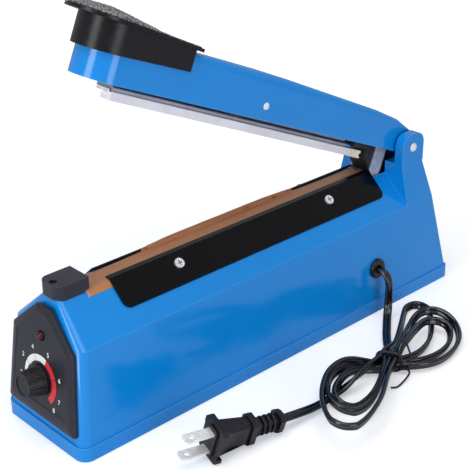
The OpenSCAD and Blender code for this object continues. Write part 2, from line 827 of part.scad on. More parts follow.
module handle_cap() {
    half = arm_w / 2 + cap_wall;
    rest_half = half + 2;
    far_u = rest_u1 + 2;
    color(black) on_arm() {
        difference() {
            intersection() {
                linear_extrude(60) nose_outline(cap_u0, cap_u1, half);
                across_y(60) polygon([[-cap_u0, cap_skirt], [-far_u, cap_skirt - 1.8],
                    [-far_u, rest_v(far_u) + 0.4], [-cap_u0, rest_v(cap_u0) + 0.4]]);
            }
            translate([0, 0, -10]) linear_extrude(arm_top + 10 + hair)
                nose_outline(cap_u0 - 9, arm_reach + hair, arm_w / 2 + hair);
            for (u = cap_screw_u) translate([-u, 0, arm_top - 1]) cylinder(r = 1.2, h = 3);
        }
        // The hand rest, which rises towards the front
        intersection() {
            linear_extrude(60) nose_outline(rest_u0, rest_u1, rest_half);
            across_y(60) polygon([[-rest_u0, rest_v(rest_u0) + 0.3], [-far_u, rest_v(far_u) + 0.3],
                [-far_u, rest_v(far_u) + rest_t], [-rest_u0, rest_v(rest_u0) + rest_t]]);
        }
    }
}

// Soft pad glued on the hand rest
module hand_rest_pad() {
    half = arm_w / 2 + cap_wall + 0.9;
    middle = rest_u1 - half - 1;
    color([0.45, 0.45, 0.48]) on_arm()
        translate([-rest_u0, 0, rest_v(rest_u0) + rest_t]) rotate([0, atan(rest_slope), 0])
            translate([rest_u0, 0, 0]) hull() {
                linear_extrude(0.6) nose_outline(rest_u0 + 1.6, rest_u1 - 1.1, half);
                translate([-middle, 0, 0]) cylinder(r = half - 2, h = pad_h * 0.5);
                translate([-middle, 0, 0]) cylinder(r = half * 0.5, h = pad_h);
                translate([-middle + 24, 0, 0]) cylinder(r = half * 0.5, h = pad_h * 0.45);
            }
}

module cap_screws() {
    color(steel) on_arm() for (u = cap_screw_u)
        translate([-u, 0, arm_top - arm_wall - 1.1]) mirror([0, 0, 1]) screw(2.6, 1.1, 1.2, arm_wall + 0.9);
}

// Block between the lever's two legs, round the hinge pin
module pivot_block() {
    color(black) on_arm() difference() {
        across_y(block_half) difference() {
            union() {
                polygon([[0, 6.5], [-39.5, 1], [-39.5, -9.8], [-23.5, -9.8], [-23.5, -16.6], [-14.2, -24.4],
                    [-lever_rear_u - lever_t - 0.4, -24.4], [-lever_rear_u - lever_t - 0.4, -22.6], [0, -22.6]]);
                circle(arm_heel_r - arm_wall - 0.2);
            }
            circle(pin_r + running_gap);
        }
        for (v = rivet_v) translate([-(lever_rear_u + lever_front_u) / 2, 0, v]) bar_y(lever_rivet_r, 40);
    }
}
rivet_v = [-2.2, 4.6];
lever_rivet_r = 1.5;

// Steel lever: two legs and a web at their lower rear edge
module lever_strap() {
    tail_front_u = lever_rear_u + 5;
    color(steel) on_arm() difference() {
        union() {
            for (side = [-1, 1]) translate([0, side * (lever_out - lever_t / 2), 0])
                across_y(lever_t / 2) union() {
                    polygon([[-lever_rear_u, 8], [-lever_front_u, 8], [-lever_front_u, -22],
                        [-tail_front_u, -31], [-tail_front_u, lever_low], [-lever_rear_u, lever_low]]);
                    circle(7);
                }
            span([-lever_rear_u - lever_t, -lever_out, lever_low], [-lever_rear_u, lever_out, -23]);
        }
        bar_y(pin_r + running_gap, 40);
        for (v = rivet_v) translate([-(lever_rear_u + lever_front_u) / 2, 0, v]) bar_y(lever_rivet_r, 40);
        translate([-lever_rear_u - 3, 0, hook_v]) rotate([0, 90, 0]) cylinder(r = 1.3, h = 6);
    }
}

module lever_rivets() {
    color(steel) on_arm() for (v = rivet_v)
        translate([-(lever_rear_u + lever_front_u) / 2, 0, v]) {
            bar_y(lever_rivet_r, 2 * lever_out);
            for (side = [-1, 1]) translate([0, side * (lever_out + 0.35), 0]) bar_y(2.3, 0.7);
        }
}

module hinge_pin() {
    proud = 0.7;
    color(steel) translate([hinge_x, 0, hinge_z]) {
        bar_y(pin_r, ears_w);
        for (side = [0, 180]) rotate([90, 0, side])
            translate([0, 0, ears_w / 2 - hair]) cylinder(r1 = pin_r, r2 = pin_r - 0.6, h = proud);
    }
}

module bar_pivot_pin() {
    color(steel) on_arm() translate([-bar_pivot, 0, bar_pivot_v]) {
        bar_y(bar_pin_r, arm_w);
        for (side = [0, 180]) rotate([90, 0, side])
            translate([0, 0, arm_w / 2]) cylinder(r1 = 2.3, r2 = 1.7, h = 0.6);
    }
}

// Places its children on the press bar, which droops at the rear while the arm is up
module on_bar() {
    on_arm() translate([-bar_pivot, 0, bar_pivot_v]) rotate([0, bar_droop, 0])
        translate([bar_pivot, 0, -bar_pivot_v]) children();
}

module press_bar() {
    r = 1.6;
    flange_h = 3.6;
    stem = 4;
    color(aluminium) on_bar() difference() {
        translate([-bar_front_u, 0, 0]) rotate([90, 0, 90]) linear_extrude(bar_l) {
            translate([-bar_half_w, strip_top + r]) square([2 * bar_half_w, flange_h - 2 * r]);
            translate([-bar_half_w + r, strip_top]) square([2 * (bar_half_w - r), flange_h]);
            for (y = [-1, 1], z = [r, flange_h - r])
                translate([y * (bar_half_w - r), strip_top + z]) circle(r, $fn = 24);
            translate([-stem, strip_top + flange_h - 1]) square([2 * stem, bar_pivot_v + 4 - strip_top - flange_h + 1]);
        }
        translate([-bar_pivot, 0, bar_pivot_v]) bar_y(bar_pin_r + running_gap, 40);
        // The stem is open along its middle
        span([-bar_front_u - 1, -stem + 1.5, strip_top + flange_h], [1 - bar_back, stem - 1.5, 30]);
    }
}

module silicone_strip() {
    color([0.90, 0.89, 0.94]) on_bar()
        span([-strip_front_u, -strip_w / 2, strip_low], [-strip_back, strip_w / 2, strip_top]);
}

// Nylon stop behind the strip, with a round notch in its end
module strip_end_stop() {
    rear_u = strip_back - stop_l;
    color([0.95, 0.93, 0.84]) on_bar() difference() {
        span([-rear_u - stop_l + 0.05, -strip_w / 2 - 0.1, strip_low - 0.1],
            [-rear_u, strip_w / 2 + 0.1, strip_top]);
        translate([-rear_u, 0, strip_low + strip_h * 0.45]) bar_y(1.2, strip_w + 4);
        translate([-rear_u, 0, strip_low - 1]) rotate([0, 0, 45]) cube([3, 3, 2.4], center = true);
    }
}

// Thin spring clip under the bar's front end, turned up in front of it
module bar_end_clip() {
    low = strip_top - 0.7;
    color(steel) on_bar() {
        span([-bar_front_u - 1.2, -5.3, low], [-bar_front_u - 0.6, 5.3, low + 2]);
        span([-bar_front_u - 0.7, -5.3, low], [-strip_front_u - 0.1, 5.3, low + 0.6]);
    }
}

// ---------------------------------------------------------------- swept wires

// Ring of points round p, square to the direction d; ref is a direction that d never takes
function ring(p, d, ref, r, sides) = let (
    t = d / norm(d),
    n = cross(t, ref) / norm(cross(t, ref)),
    b = cross(t, n))
    [for (i = [0 : sides - 1]) let (a = 360 * i / sides) p + r * (n * cos(a) + b * sin(a))];

// A closed tube of the given radius along a list of points
module tube(points, r, sides, ref) {
    n = len(points);
    rings = [for (i = [0 : n - 1])
        ring(points[i], points[min(i + 1, n - 1)] - points[max(i - 1, 0)], ref, r, sides)];
    sides_faces = [for (i = [0 : n - 2], j = [0 : sides - 1]) let (k = (j + 1) % sides)
        [i * sides + j, (i + 1) * sides + j, (i + 1) * sides + k, i * sides + k]];
    ends = [[for (j = [0 : sides - 1]) j], [for (j = [sides - 1 : -1 : 0]) (n - 1) * sides + j]];
    polyhedron([for (q = rings) each q], concat(sides_faces, ends), convexity = 10);
}

// A point between the points of a route, on a smooth curve through them
function curve_point(p, i, f) = let (
    n = len(p) - 1, a = p[max(i - 1, 0)], b = p[i], c = p[min(i + 1, n)], d = p[min(i + 2, n)])
    0.5 * (2 * b + (c - a) * f + (2 * a - 5 * b + 4 * c - d) * f * f + (3 * b - 3 * c + d - a) * f * f * f);
function smooth_route(p, steps) = concat(
    [for (i = [0 : len(p) - 2], k = [0 : steps - 1]) curve_point(p, i, k / steps)], [p[len(p) - 1]]);

// Tension spring between the anchor and the lever: hooks in the middle of its axis
spring_from = [anchor_x - 0.75, 0, anchor_z + 1.6];
hook_u = lever_rear_u + lever_t / 2;
spring_to = [hinge_x - hook_u * cos(arm_open) + hook_v * sin(arm_open), 0,
    hinge_z + hook_u * sin(arm_open) + hook_v * cos(arm_open)];
spring_coils = 11;
spring_r = 3.6;
wire_r = 0.6;
module return_spring() {
    reach = norm(spring_to - spring_from);
    tilt = atan2(spring_to[2] - spring_from[2], spring_to[0] - spring_from[0]);
    lead_in = 7;
    turns_l = reach - 2 * lead_in;
    per_turn = 12;
    total = spring_coils * per_turn;
    start = [[-2, 0, -2], [-1.9, 0, -0.7], [-1.1, 0, -0.05], [1.1, 0, 0.05], [2.6, 0, 0.9], [lead_in - 2, 0, 1.4]];
    coil = [for (i = [0 : total]) [lead_in + turns_l * i / total,
        spring_r * sin(360 * i / per_turn), spring_r * cos(360 * i / per_turn)]];
    finish = [for (p = reversed(start)) [reach - p[0], p[1], p[2]]];
    color(steel) translate(spring_from) rotate([0, -tilt, 0])
        tube(concat(start, coil, finish), wire_r, 6, [0.02, 1, 0.03]);
}

// ---------------------------------------------------------------- mains lead

module grommet_place() {
    drop = grommet_z - tray_h;
    half = foot_w / 2 - drop * tan(side_tilt);
    translate([grommet_x, -half, grommet_z]) rotate([90 - side_tilt, 0, 0]) children();
}

// Rubber ring with a groove for the wall and a short nose
seat = 0.1;
module cord_grommet() {
    color(rubber) grommet_place() rotate_extrude() difference() {
        union() {
            translate([0, -shell_wall]) square([4.5, shell_wall + 1]);
            translate([0, seat]) square([6.7, 1.4]);
            translate([0, 1.4]) square([5.7, 1]);
            translate([5.7, 1.4]) circle(1, $fn = 16);
            translate([0, -shell_wall - seat - 1.6]) square([6, 1.6]);
        }
        translate([-1, -20]) square([1 + cord_w / 2, 40]);
    }
}

// Clamp inside the wall that keeps the lead from pulling out
module cord_clamp() {
    color(black) grommet_place() difference() {
        translate([0, 0, -shell_wall - 5]) cube([12, 9, 6], center = true);
        translate([0, 0, -20]) cylinder(r = cord_w / 2 + 0.2, h = 40);
    }
}

// Route of the lead: out of the grommet, down to the bench and along it to the tie
cord_r = cord_w / 2;
lead_route = [[84.6, -25.2, 30.9], [84.6, -30, 31.3], [84.6, -34.2, 31.6], [84.6, -38.4, 31.7],
    [84.7, -42.2, 30.4], [84.8, -45, 26.8], [84.8, -46, 21.4], [84.6, -46.2, 15], [83.6, -47, 8.6], [80, -49.6, 4.2], [74, -54.4, 2.9],
    [66, -61, 2.9], [58, -67.4, 2.9], [51, -73.6, 3.4], [45, -79, 4.6]];
module cord_lead() {
    color(rubber) tube(smooth_route(lead_route, 3), cord_r, 8, [1, 0, 0]);
}

// Bow of turns either side of the tie, each a low stack with round ends
tie_spot = [34, -89, 0];
bow_h = 9;
bow_in = 10;
bow_root = 7;
loops_right = [49, 5, 27];
loops_left = [-44, -9, 28];
module loops(end) {
    side = sign(end[0]);
    color(rubber) translate(tie_spot) linear_extrude(bow_h) difference() {
        hull() {
            translate([side * (bow_root + 1), 0]) circle(bow_root, $fn = 32);
            translate([end[0], end[1]]) circle(end[2], $fn = 48);
        }
        hull() {
            translate([side * (bow_root + 14), 1]) circle(1.5, $fn = 16);
            translate([end[0], end[1]]) circle(end[2] - bow_in, $fn = 32);
        }
    }
}
module cord_loops_right() { loops(loops_right); }
module cord_loops_left() { loops(loops_left); }

tie_r = 6.4;
module cord_tie() {
    color(black) translate(tie_spot + [0, 0, tie_r + 0.6]) rotate([0, 90, 10])
        rotate_extrude() translate([tie_r, 0]) circle(0.5, $fn = 12);
}

plug_place = [-106, -81.5, 13.2];
plug_turn = 170.9;
plug_pitch = -6.6;
plug_lean = -14.7;
module on_plug() {
    translate(plug_place) rotate([0, 0, plug_turn]) rotate([0, plug_pitch, 0]) rotate([plug_lean, 0, 0]) children();
}
relief_l = 20.5;
body_back = -27;
tail_route = [[-61.4, -88.6, 8.1], [-57, -89.3, 7.5], [-53, -90.1, 6.5], [-49, -90.9, 5], [-45, -91.6, 3.6],
    [-41.5, -92, 2.9], [-38, -92, 2.9]];
module cord_tail() {
    color(rubber) tube(smooth_route(tail_route, 3), cord_r, 8, [0, 0, 1]);
}

// A plate across the plug with its corners cut off: half width, half height, cut, from x0 to x1
module plug_slab(y, z, cut, x0, x1) {
    translate([x1, 0, 0]) rotate([0, -90, 0]) linear_extrude(x1 - x0) polygon([
        [z, y - cut], [z, cut - y], [z - cut, -y], [cut - z, -y],
        [-z, cut - y], [-z, y - cut], [cut - z, y], [z - cut, y]]);
}

relief_pitch = 3.5;
module plug_body() {
    color(rubber) on_plug() difference() {
        union() {
            plug_slab(9.4, 12.2, 2.2, -3.4, 0);
            plug_slab(4.6, 9.6, 1.6, -1, 1.2);
            hull() {
                plug_slab(6, 10.4, 2, -4, -3);
                plug_slab(4.6, 7.6, 1.8, body_back + 3, body_back + 4);
            }
            plug_slab(6.1, 8.8, 2.2, body_back, body_back + 4);
            // Ribs of the strain relief, and its thicker end
            for (i = [0 : 3]) translate([body_back - 2.4 - relief_pitch * i, 0, 0]) scale([1, 0.86, 1.04])
                rotate([0, 90, 0]) rotate_extrude($fn = 32) hull() {
                    translate([5.2, -0.1]) circle(0.8, $fn = 12);
                    translate([0, -0.9]) square([3, 1.6]);
                }
            hull() {
                plug_slab(4.6, 5.4, 2.2, -relief_l + body_back, -relief_l + body_back + 0.5);
                plug_slab(5.5, 6.4, 2.4, -relief_l + body_back + 1.8, -relief_l + body_back + 4.4);
            }
            plug_slab(3.4, 4.2, 1.6, body_back - relief_l + 1, body_back + 1);
        }
        // Grip hollows on the two broad sides
        for (y = [-1, 1]) translate([-14, y * 42.4, -0.6]) rotate([0, 3 * y, 0]) scale([0.8, 1, 1])
            cylinder(r = 38, h = 12.4, center = true, $fn = 96);
        translate([body_back - relief_l - 1, 0, 0]) rotate([0, 90, 0]) cylinder(r = cord_r, h = 6);
        for (z = [-1, 1]) translate([0, 0, z * blade_gap / 2]) cube([12, 6.5, 1.5], center = true);
    }
}

module plug_blades() {
    blade_l = 19.2;
    color(steel) on_plug() for (z = [-1, 1]) translate([0, 0, z * blade_gap / 2]) difference() {
        union() {
            span([-5, -3.25, -0.75], [blade_l - 2, 3.25, 0.75]);
            hull() {
                span([blade_l - 3, -3.25, -0.75], [blade_l - 1.2, 3.25, 0.75]);
                span([blade_l - 1, -2.2, -0.5], [blade_l, 2.2, 0.5]);
            }
        }
        translate([blade_l - 5, 0, -3]) cylinder(r = 1.6, h = 6);
    }
}

// ---------------------------------------------------------------- assembly

base_shell();
base_tray();
tray_screws();
tray_pads();
front_panel();
timer_dial();
indicator_lamp();
potentiometer_body();
timer_board();
board_relay();
board_capacitors();
transformer_core();
transformer_coil();
transformer_screws();
microswitch_body();
microswitch_bracket();
microswitch_plunger();
microswitch_screws();
spring_anchor();
return_spring();
hinge_pin();
element_insulation();
heating_element();
front_terminal();
rear_terminal();
terminal_cap();
terminal_cap_screw();
cover_sheet();
press_plate_near();
press_plate_far();
press_plate_screws();
arm_shell();
handle_cap();
hand_rest_pad();
cap_screws();
pivot_block();
lever_strap();
lever_rivets();
bar_pivot_pin();
press_bar();
silicone_strip();
strip_end_stop();
bar_end_clip();
timer_knob();
knob_shaft();
knob_set_screw();
cord_grommet();
cord_clamp();
cord_lead();
cord_loops_right();
cord_loops_left();
cord_tie();
cord_tail();
plug_body();
plug_blades();
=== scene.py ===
"""Looks of a bench impulse heat sealer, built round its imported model.

Lengths are millimetres and become metres where they reach Blender.
"""
import json
import math

import bmesh
import bpy
from mathutils import Matrix, Vector, noise
from mathutils.bvhtree import BVHTree


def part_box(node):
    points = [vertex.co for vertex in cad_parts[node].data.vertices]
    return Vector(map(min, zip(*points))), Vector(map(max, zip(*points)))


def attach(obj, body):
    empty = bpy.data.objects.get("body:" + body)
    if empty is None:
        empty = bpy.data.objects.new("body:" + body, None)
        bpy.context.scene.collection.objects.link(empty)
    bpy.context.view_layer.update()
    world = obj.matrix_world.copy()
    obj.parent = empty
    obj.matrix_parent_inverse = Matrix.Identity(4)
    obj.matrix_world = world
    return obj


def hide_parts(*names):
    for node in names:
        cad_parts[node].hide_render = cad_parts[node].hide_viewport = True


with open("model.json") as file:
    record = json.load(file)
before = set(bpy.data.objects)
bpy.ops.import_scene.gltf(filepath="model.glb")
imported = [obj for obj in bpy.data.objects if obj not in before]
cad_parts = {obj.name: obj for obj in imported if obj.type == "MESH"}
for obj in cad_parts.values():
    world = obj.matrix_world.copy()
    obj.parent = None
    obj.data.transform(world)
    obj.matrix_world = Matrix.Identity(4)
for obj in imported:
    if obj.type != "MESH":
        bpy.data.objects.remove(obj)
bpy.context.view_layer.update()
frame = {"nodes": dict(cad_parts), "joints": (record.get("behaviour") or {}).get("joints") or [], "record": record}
MM = 0.001


# ---- camera

# Degrees round from the front, up, and of roll
VIEW_AZIMUTH, VIEW_ELEVATION, VIEW_ROLL = -42.96, 26.08, -0.48
# The point that the camera looks at, and how far it stands from it
VIEW_TARGET = Vector((-1.32, 10.37, 69.51))
VIEW_DISTANCE = 744.98
SENSOR_W, LENS = 36, 90.73


def camera_place():
    """The camera's eye in metres, and its right, up and backward directions."""
    azimuth, elevation, roll = (math.radians(a) for a in (VIEW_AZIMUTH, VIEW_ELEVATION, VIEW_ROLL))
    back = Vector((math.sin(azimuth) * math.cos(elevation),
                   -math.cos(azimuth) * math.cos(elevation), math.sin(elevation)))
    right = Vector((0, 0, 1)).cross(back).normalized()
    up = back.cross(right)
    turned_right = right * math.cos(roll) + up * math.sin(roll)
    turned_up = up * math.cos(roll) - right * math.sin(roll)
    return VIEW_TARGET * MM + back * (VIEW_DISTANCE * MM), (turned_right, turned_up, back)


EYE, EYE_AXES = camera_place()


def make_camera():
    data = bpy.data.cameras.new("camera")
    data.sensor_width = SENSOR_W
    data.lens = LENS
    data.clip_start = 0.01
    data.clip_end = 30
    obj = new_object("camera", data)
    obj.matrix_world = Matrix.Translation(EYE) @ Matrix(EYE_AXES).transposed().to_4x4()
    bpy.context.scene.camera = obj


# ---- mesh tools

def new_object(name, data):
    obj = bpy.data.objects.new(name, data)
    bpy.context.scene.collection.objects.link(obj)
    return obj


def coat(mesh, stuff):
    """Gives a mesh its one material."""
    mesh.materials.clear()
    mesh.materials.append(MATERIALS[stuff])


def add_object(name, mesh, body, stuff, replaced=()):
    """A piece with its material, on its body, in the place of the CAD nodes it stands for."""
    obj = new_object(name, mesh)
    coat(mesh, stuff)
    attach(obj, body)
    if replaced:
        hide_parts(*replaced)
    return obj


def mesh_of(name, points, faces, smooth=True, scale=MM):
    """A mesh from points in millimetres."""
    mesh = bpy.data.meshes.new(name)
    mesh.from_pydata([tuple(scale * c for c in p) for p in points], [], faces)
    mesh.validate()
    for polygon in mesh.polygons:
        polygon.use_smooth = smooth
    return mesh


def faced_out(mesh):
    """The mesh with all its faces turned outwards."""
    bm = bmesh.new()
    bm.from_mesh(mesh)
    bmesh.ops.recalc_face_normals(bm, faces=bm.faces[:])
    bm.to_mesh(mesh)
    bm.free()
    return mesh


def catmull(a, b, c, d, f):
    """The point at f between b and c on the smooth curve through all four."""
    bend, twist = 2 * a - 5 * b + 4 * c - d, 3 * b - 3 * c + d - a
    return 0.5 * (2 * b + (c - a) * f + bend * f * f + twist * f ** 3)


def smooth_route(points, steps):
    """Points on a smooth curve through the given ones, the same curve as the CAD model's."""
    out = []
    for i in range(len(points) - 1):
        quad = [points[min(max(i + k, 0), len(points) - 1)] for k in (-1, 0, 1, 2)]
        out += [catmull(*quad, k / steps) for k in range(steps)]
    return out + [points[-1]]


def spaced(points, gap):
    """The same line with its points at even distances."""
    lengths = [(b - a).length for a, b in zip(points, points[1:])]
    total = sum(lengths)
    count = max(2, round(total / gap))
    out, i, done = [points[0]], 0, 0.0
    for k in range(1, count):
        want = total * k / count
        while done + lengths[i] < want:
            done += lengths[i]
            i += 1
        out.append(points[i].lerp(points[i + 1], (want - done) / lengths[i]))
    return out + [points[-1]]


def direction(line, i):
    """Which way the line runs at its point i."""
    return (line[min(i + 1, len(line) - 1)] - line[max(i - 1, 0)]).normalized()


def squared(vector, along):
    """The vector square to a direction, with length 1."""
    return (vector - along * vector.dot(along)).normalized()


def frame_along(line):
    """Sideways directions along a line that turn with it as little as they can."""
    side = direction(line, 0).orthogonal().normalized()
    out = []
    for i in range(len(line)):
        side = squared(side, direction(line, i))
        out.append(side)
    return out


def sweep(name, line, section, sides):
    """A closed tube along a line, from a section of (across, up): sides says which way across is."""
    count, points, faces = len(section), [], []
    for i, p in enumerate(line):
        along = direction(line, i)
        across = squared(sides[i], along)
        rise = along.cross(across)
        points += [p + across * a + rise * b for a, b in section]
    for i in range(len(line) - 1):
        for k in range(count):
            m = (k + 1) % count
            faces.append((i * count + k, i * count + m, (i + 1) * count + m, (i + 1) * count + k))
    faces += [tuple(reversed(range(count))), tuple((len(line) - 1) * count + k for k in range(count))]
    return mesh_of(name, points, faces)


def closed_sheet(name, top, under, rows, columns):
    """A closed mesh from two grids of points, one over the other."""
    across, n, faces = columns + 1, len(top), []
    rim = [(i * across, (i + 1) * across) for i in range(rows)]
    rim += [(rows * across + k, rows * across + k + 1) for k in range(columns)]
    rim += [((i + 1) * across + columns, i * across + columns) for i in range(rows)]
    rim += [(k + 1, k) for k in range(columns)]
    for i in range(rows):
        for k in range(columns):
            a = i * across + k
            b, c, d = a + 1, a + across + 1, a + across
            faces += [(a, d, c, b), (n + a, n + b, n + c, n + d)]
    faces += [(a, n + a, n + b, b) for a, b in rim]
    return faced_out(mesh_of(name, top + under, faces))


# ---- shader nodes

WHITE = (1, 1, 1, 1)


def feed(tree, socket, value):
    """Links a socket to another one, or sets it to a value."""
    if hasattr(value, "is_linked"):
        tree.links.new(value, socket)
    else:
        socket.default_value = value


def new_node(tree, kind, *values, operation=None, **named):
    """A node with its first sockets fed in order, and others by name."""
    made = tree.nodes.new(kind)
    if operation:
        made.operation = operation
    for socket, value in zip(made.inputs, values):
        feed(tree, socket, value)
    for name, value in named.items():
        feed(tree, made.inputs[name.replace("_", " ")], value)
    return made


# ---- materials

MATERIALS, SLOTS = {}, {}
# Most of a noise lies between these
NOISE_LOW, NOISE_HIGH = 0.35, 0.65


class Stuff:
    """A material being put together, with short names for the nodes it needs."""

    def __init__(self, name, colour, roughness, metallic=0.0, specular=0.5, slot=None):
        self.material = bpy.data.materials.new(name)
        self.material.use_nodes = True
        self.tree = self.material.node_tree
        self.shader = self.tree.nodes["Principled BSDF"]
        self.set(Base_Color=(*colour, 1), Roughness=roughness, Metallic=metallic, Specular_IOR_Level=specular)
        self.colour, self.roughness = colour, roughness
        self.place = self.node("ShaderNodeTexCoord").outputs["Object"]
        self.normal = None
        MATERIALS[name], SLOTS[name] = self.material, slot or name

    def set(self, **values):
        for name, value in values.items():
            self.shader.inputs[name.replace("_", " ")].default_value = value

    def to(self, name, socket):
        self.tree.links.new(socket, self.shader.inputs[name])
        return self

    def node(self, kind, *values, **named):
        return new_node(self.tree, kind, *values, **named)

    def combined(self, operation, *values):
        """One sum on values or sockets."""
        return self.node("ShaderNodeMath", *values, operation=operation).outputs[0]

    def ramp(self, fac, low, high, low_value=0, high_value=1):
        """A value carried from the range low to high over to another range, and kept inside it."""
        return self.node("ShaderNodeMapRange", fac, low, high, low_value, high_value).outputs["Result"]

    def noise(self, per_mm, detail=3.0, roughness=0.55, stretch=(1, 1, 1)):
        place = self.place
        if stretch != (1, 1, 1):
            place = self.node("ShaderNodeMapping", Vector=self.place, Scale=stretch).outputs["Vector"]
        return self.node("ShaderNodeTexNoise", Vector=place, Scale=per_mm / MM,
                         Detail=detail, Roughness=roughness).outputs["Fac"]

    def drift(self, per_mm):
        """A slow change over the surface, from 0 to 1."""
        return self.ramp(self.noise(per_mm), NOISE_LOW, NOISE_HIGH)

    def blend(self, fac, one, two):
        """A colour between two, each of them a colour or a socket."""
        made = self.tree.nodes.new("ShaderNodeMix")
        made.data_type = "RGBA"
        factor, first, second = made.inputs[0], made.inputs[6], made.inputs[7]
        feed(self.tree, factor, fac)
        for socket, colour in ((first, one), (second, two)):
            feed(self.tree, socket, (*colour, 1) if isinstance(colour, tuple) else colour)
        return made.outputs[2]

    def mottle(self, per_mm, amount):
        """Colour that drifts a little over the surface."""
        light = tuple(min(1, c * (1 + amount)) for c in self.colour)
        dark = tuple(c * (1 - amount) for c in self.colour)
        return self.to("Base Color", self.blend(self.drift(per_mm), dark, light))

    def uneven_gloss(self, per_mm, spread, stretch=(1, 1, 1)):
        """Roughness that varies over the surface."""
        low, high = max(0.02, self.roughness - spread), min(1, self.roughness + spread)
        return self.to("Roughness", self.ramp(self.noise(per_mm, 4, 0.6, stretch), 0.3, 0.7, low, high))

    def bump(self, height, depth_mm, strength):
        """Grain, over any grain that is there already."""
        made = self.node("ShaderNodeBump", Height=height, Distance=depth_mm * MM, Strength=strength)
        if self.normal:
            self.tree.links.new(self.normal, made.inputs["Normal"])
        self.normal = made.outputs["Normal"]
        return self.to("Normal", self.normal)

    def edge_mask(self, radius_mm, reach=0.12):
        """1 along the piece's edges, 0 on its faces."""
        rounded = self.node("ShaderNodeBevel", Radius=radius_mm * MM)
        rounded.samples = 4
        sharp = self.node("ShaderNodeNewGeometry").outputs["Normal"]
        match = self.node("ShaderNodeVectorMath", rounded.outputs["Normal"], sharp, operation="DOT_PRODUCT")
        return self.ramp(match.outputs["Value"], 1.0, 1.0 - reach)


def scaled(colour, share):
    return tuple(c * share for c in colour)


def plastic_blue():
    """Glossy blue plastic, with a painted highlight along its edges, and a little wavy."""
    made = Stuff("blue_plastic", (0.002, 0.225, 0.67), 0.13, specular=0.42)
    face = made.blend(made.drift(0.012), (0.002, 0.217, 0.65), (0.003, 0.230, 0.68))
    # The paler blue along the edges is a painted highlight.
    made.to("Base Color", made.blend(made.edge_mask(0.7, 0.16), face, (0.07, 0.40, 0.84)))
    made.uneven_gloss(0.05, 0.03).bump(made.noise(0.02, 2), 0.25, 0.35).bump(made.noise(3.0, 2), 0.01, 0.4)


def plastic_black():
    made = Stuff("black_plastic", (0.004, 0.0035, 0.006), 0.30, specular=0.27)
    made.mottle(0.05, 0.2).uneven_gloss(0.2, 0.06).bump(made.noise(4.0, 3), 0.02, 0.5)


def plastic_knob():
    """The black plastic of the knob, with a painted highlight along the edges of its fluting."""
    made = Stuff("knob_plastic", (0.005, 0.005, 0.007), 0.3, specular=0.3, slot="black_plastic")
    highlight_strength = made.ramp(made.noise(0.6), 0.3, 0.7, 0.5, 1)
    flute_highlight = made.combined("MULTIPLY", made.edge_mask(0.35, 0.10), highlight_strength)
    # Paler along the fluting's edges, more in some places than in others: a painted highlight.
    made.to("Base Color", made.blend(flute_highlight, made.colour, (0.085, 0.085, 0.10)))
    made.uneven_gloss(0.3, 0.06).bump(made.noise(4.0, 3), 0.02, 0.5)


def plastic_panel(name, colour):
    """The charcoal plastic of the panel and of the terminal's cap, with a painted highlight along its edges."""
    made = Stuff(name, colour, 0.36, specular=0.25, slot="panel_plastic")
    face = made.blend(made.drift(0.03), scaled(colour, 0.9), scaled(colour, 1.1))
    # Paler along the edges: a painted highlight.
    made.to("Base Color", made.blend(made.edge_mask(0.5, 0.14), face, scaled(colour, 3.2)))
    made.uneven_gloss(0.1, 0.05).bump(made.noise(5.0, 3), 0.025, 0.6)


def pad_grey():
    """The grained skin of the hand rest, with a painted highlight on its pebbles and painted shade between them.
    """
    made = Stuff("grey_pad", (0.10, 0.10, 0.11), 0.55)
    cells = made.node("ShaderNodeTexVoronoi", Vector=made.place, Scale=1.1 / MM)
    pebble_height_and_painted_light = made.ramp(cells.outputs["Distance"], 0.0, 0.6, 1, 0)
    # The pale pebble tops are painted highlights and the dark gaps between them painted shade; the same mask also
    # drives the grain's bump.
    made.to("Base Color", made.blend(pebble_height_and_painted_light, (0.06, 0.06, 0.065), (0.66, 0.66, 0.70)))
    made.uneven_gloss(0.8, 0.1).bump(pebble_height_and_painted_light, 0.25, 0.9)


def rubber(name, colour, roughness, specular, grain_per_mm, grain):
    made = Stuff(name, colour, roughness, specular=specular, slot="black_rubber")
    made.mottle(0.08, 0.25).uneven_gloss(0.3, 0.08).bump(made.noise(grain_per_mm, 3), 0.03, grain)


def dial_ink(name, colour, amount):
    made = Stuff(name, colour, 0.5, slot="dial_print")
    made.mottle(0.6, amount).uneven_gloss(1.0, 0.05).bump(made.noise(6.0, 2), 0.01, 0.3)


def lens_red():
    made = Stuff("lamp", (0.05, 0.003, 0.006), 0.10, specular=0.35)
    made.mottle(0.3, 0.3).uneven_gloss(0.5, 0.03)


def metal(name, colour, roughness, grain=(1, 1, 1)):
    """Bare metal, brushed where its grain is stretched."""
    made = Stuff(name, colour, roughness, 1.0)
    made.mottle(0.06, 0.15).uneven_gloss(0.5, 0.08, grain).bump(made.noise(1.6, 4, 0.6, grain), 0.02, 0.35)


def steel_black():
    """The black press plates, with their edges paler here and there: partly wear, partly a painted highlight."""
    made = Stuff("black_steel", (0.002, 0.002, 0.003), 0.14, specular=0.16)
    scuff_and_sheen_patches = made.ramp(made.noise(0.9, 5, 0.7), 0.6, 0.75, 0, 0.35)
    worn_and_highlit_edges = made.combined("MULTIPLY", made.edge_mask(0.5), scuff_and_sheen_patches)
    # The pale edge patches are partly wear and partly a painted highlight.
    made.to("Base Color", made.blend(worn_and_highlit_edges, made.colour, (0.14, 0.14, 0.16))).uneven_gloss(0.12, 0.07)
    made.bump(made.noise(0.05, 2), 0.15, 0.3).bump(made.noise(3.0, 3), 0.015, 0.4)


def silicone():
    made = Stuff("silicone", (0.82, 0.81, 0.88), 0.40)
    made.set(Subsurface_Weight=0.25, Subsurface_Radius=(0.004, 0.004, 0.005))
    made.mottle(0.05, 0.06).uneven_gloss(0.2, 0.06).bump(made.noise(0.9, 3), 0.04, 0.4)


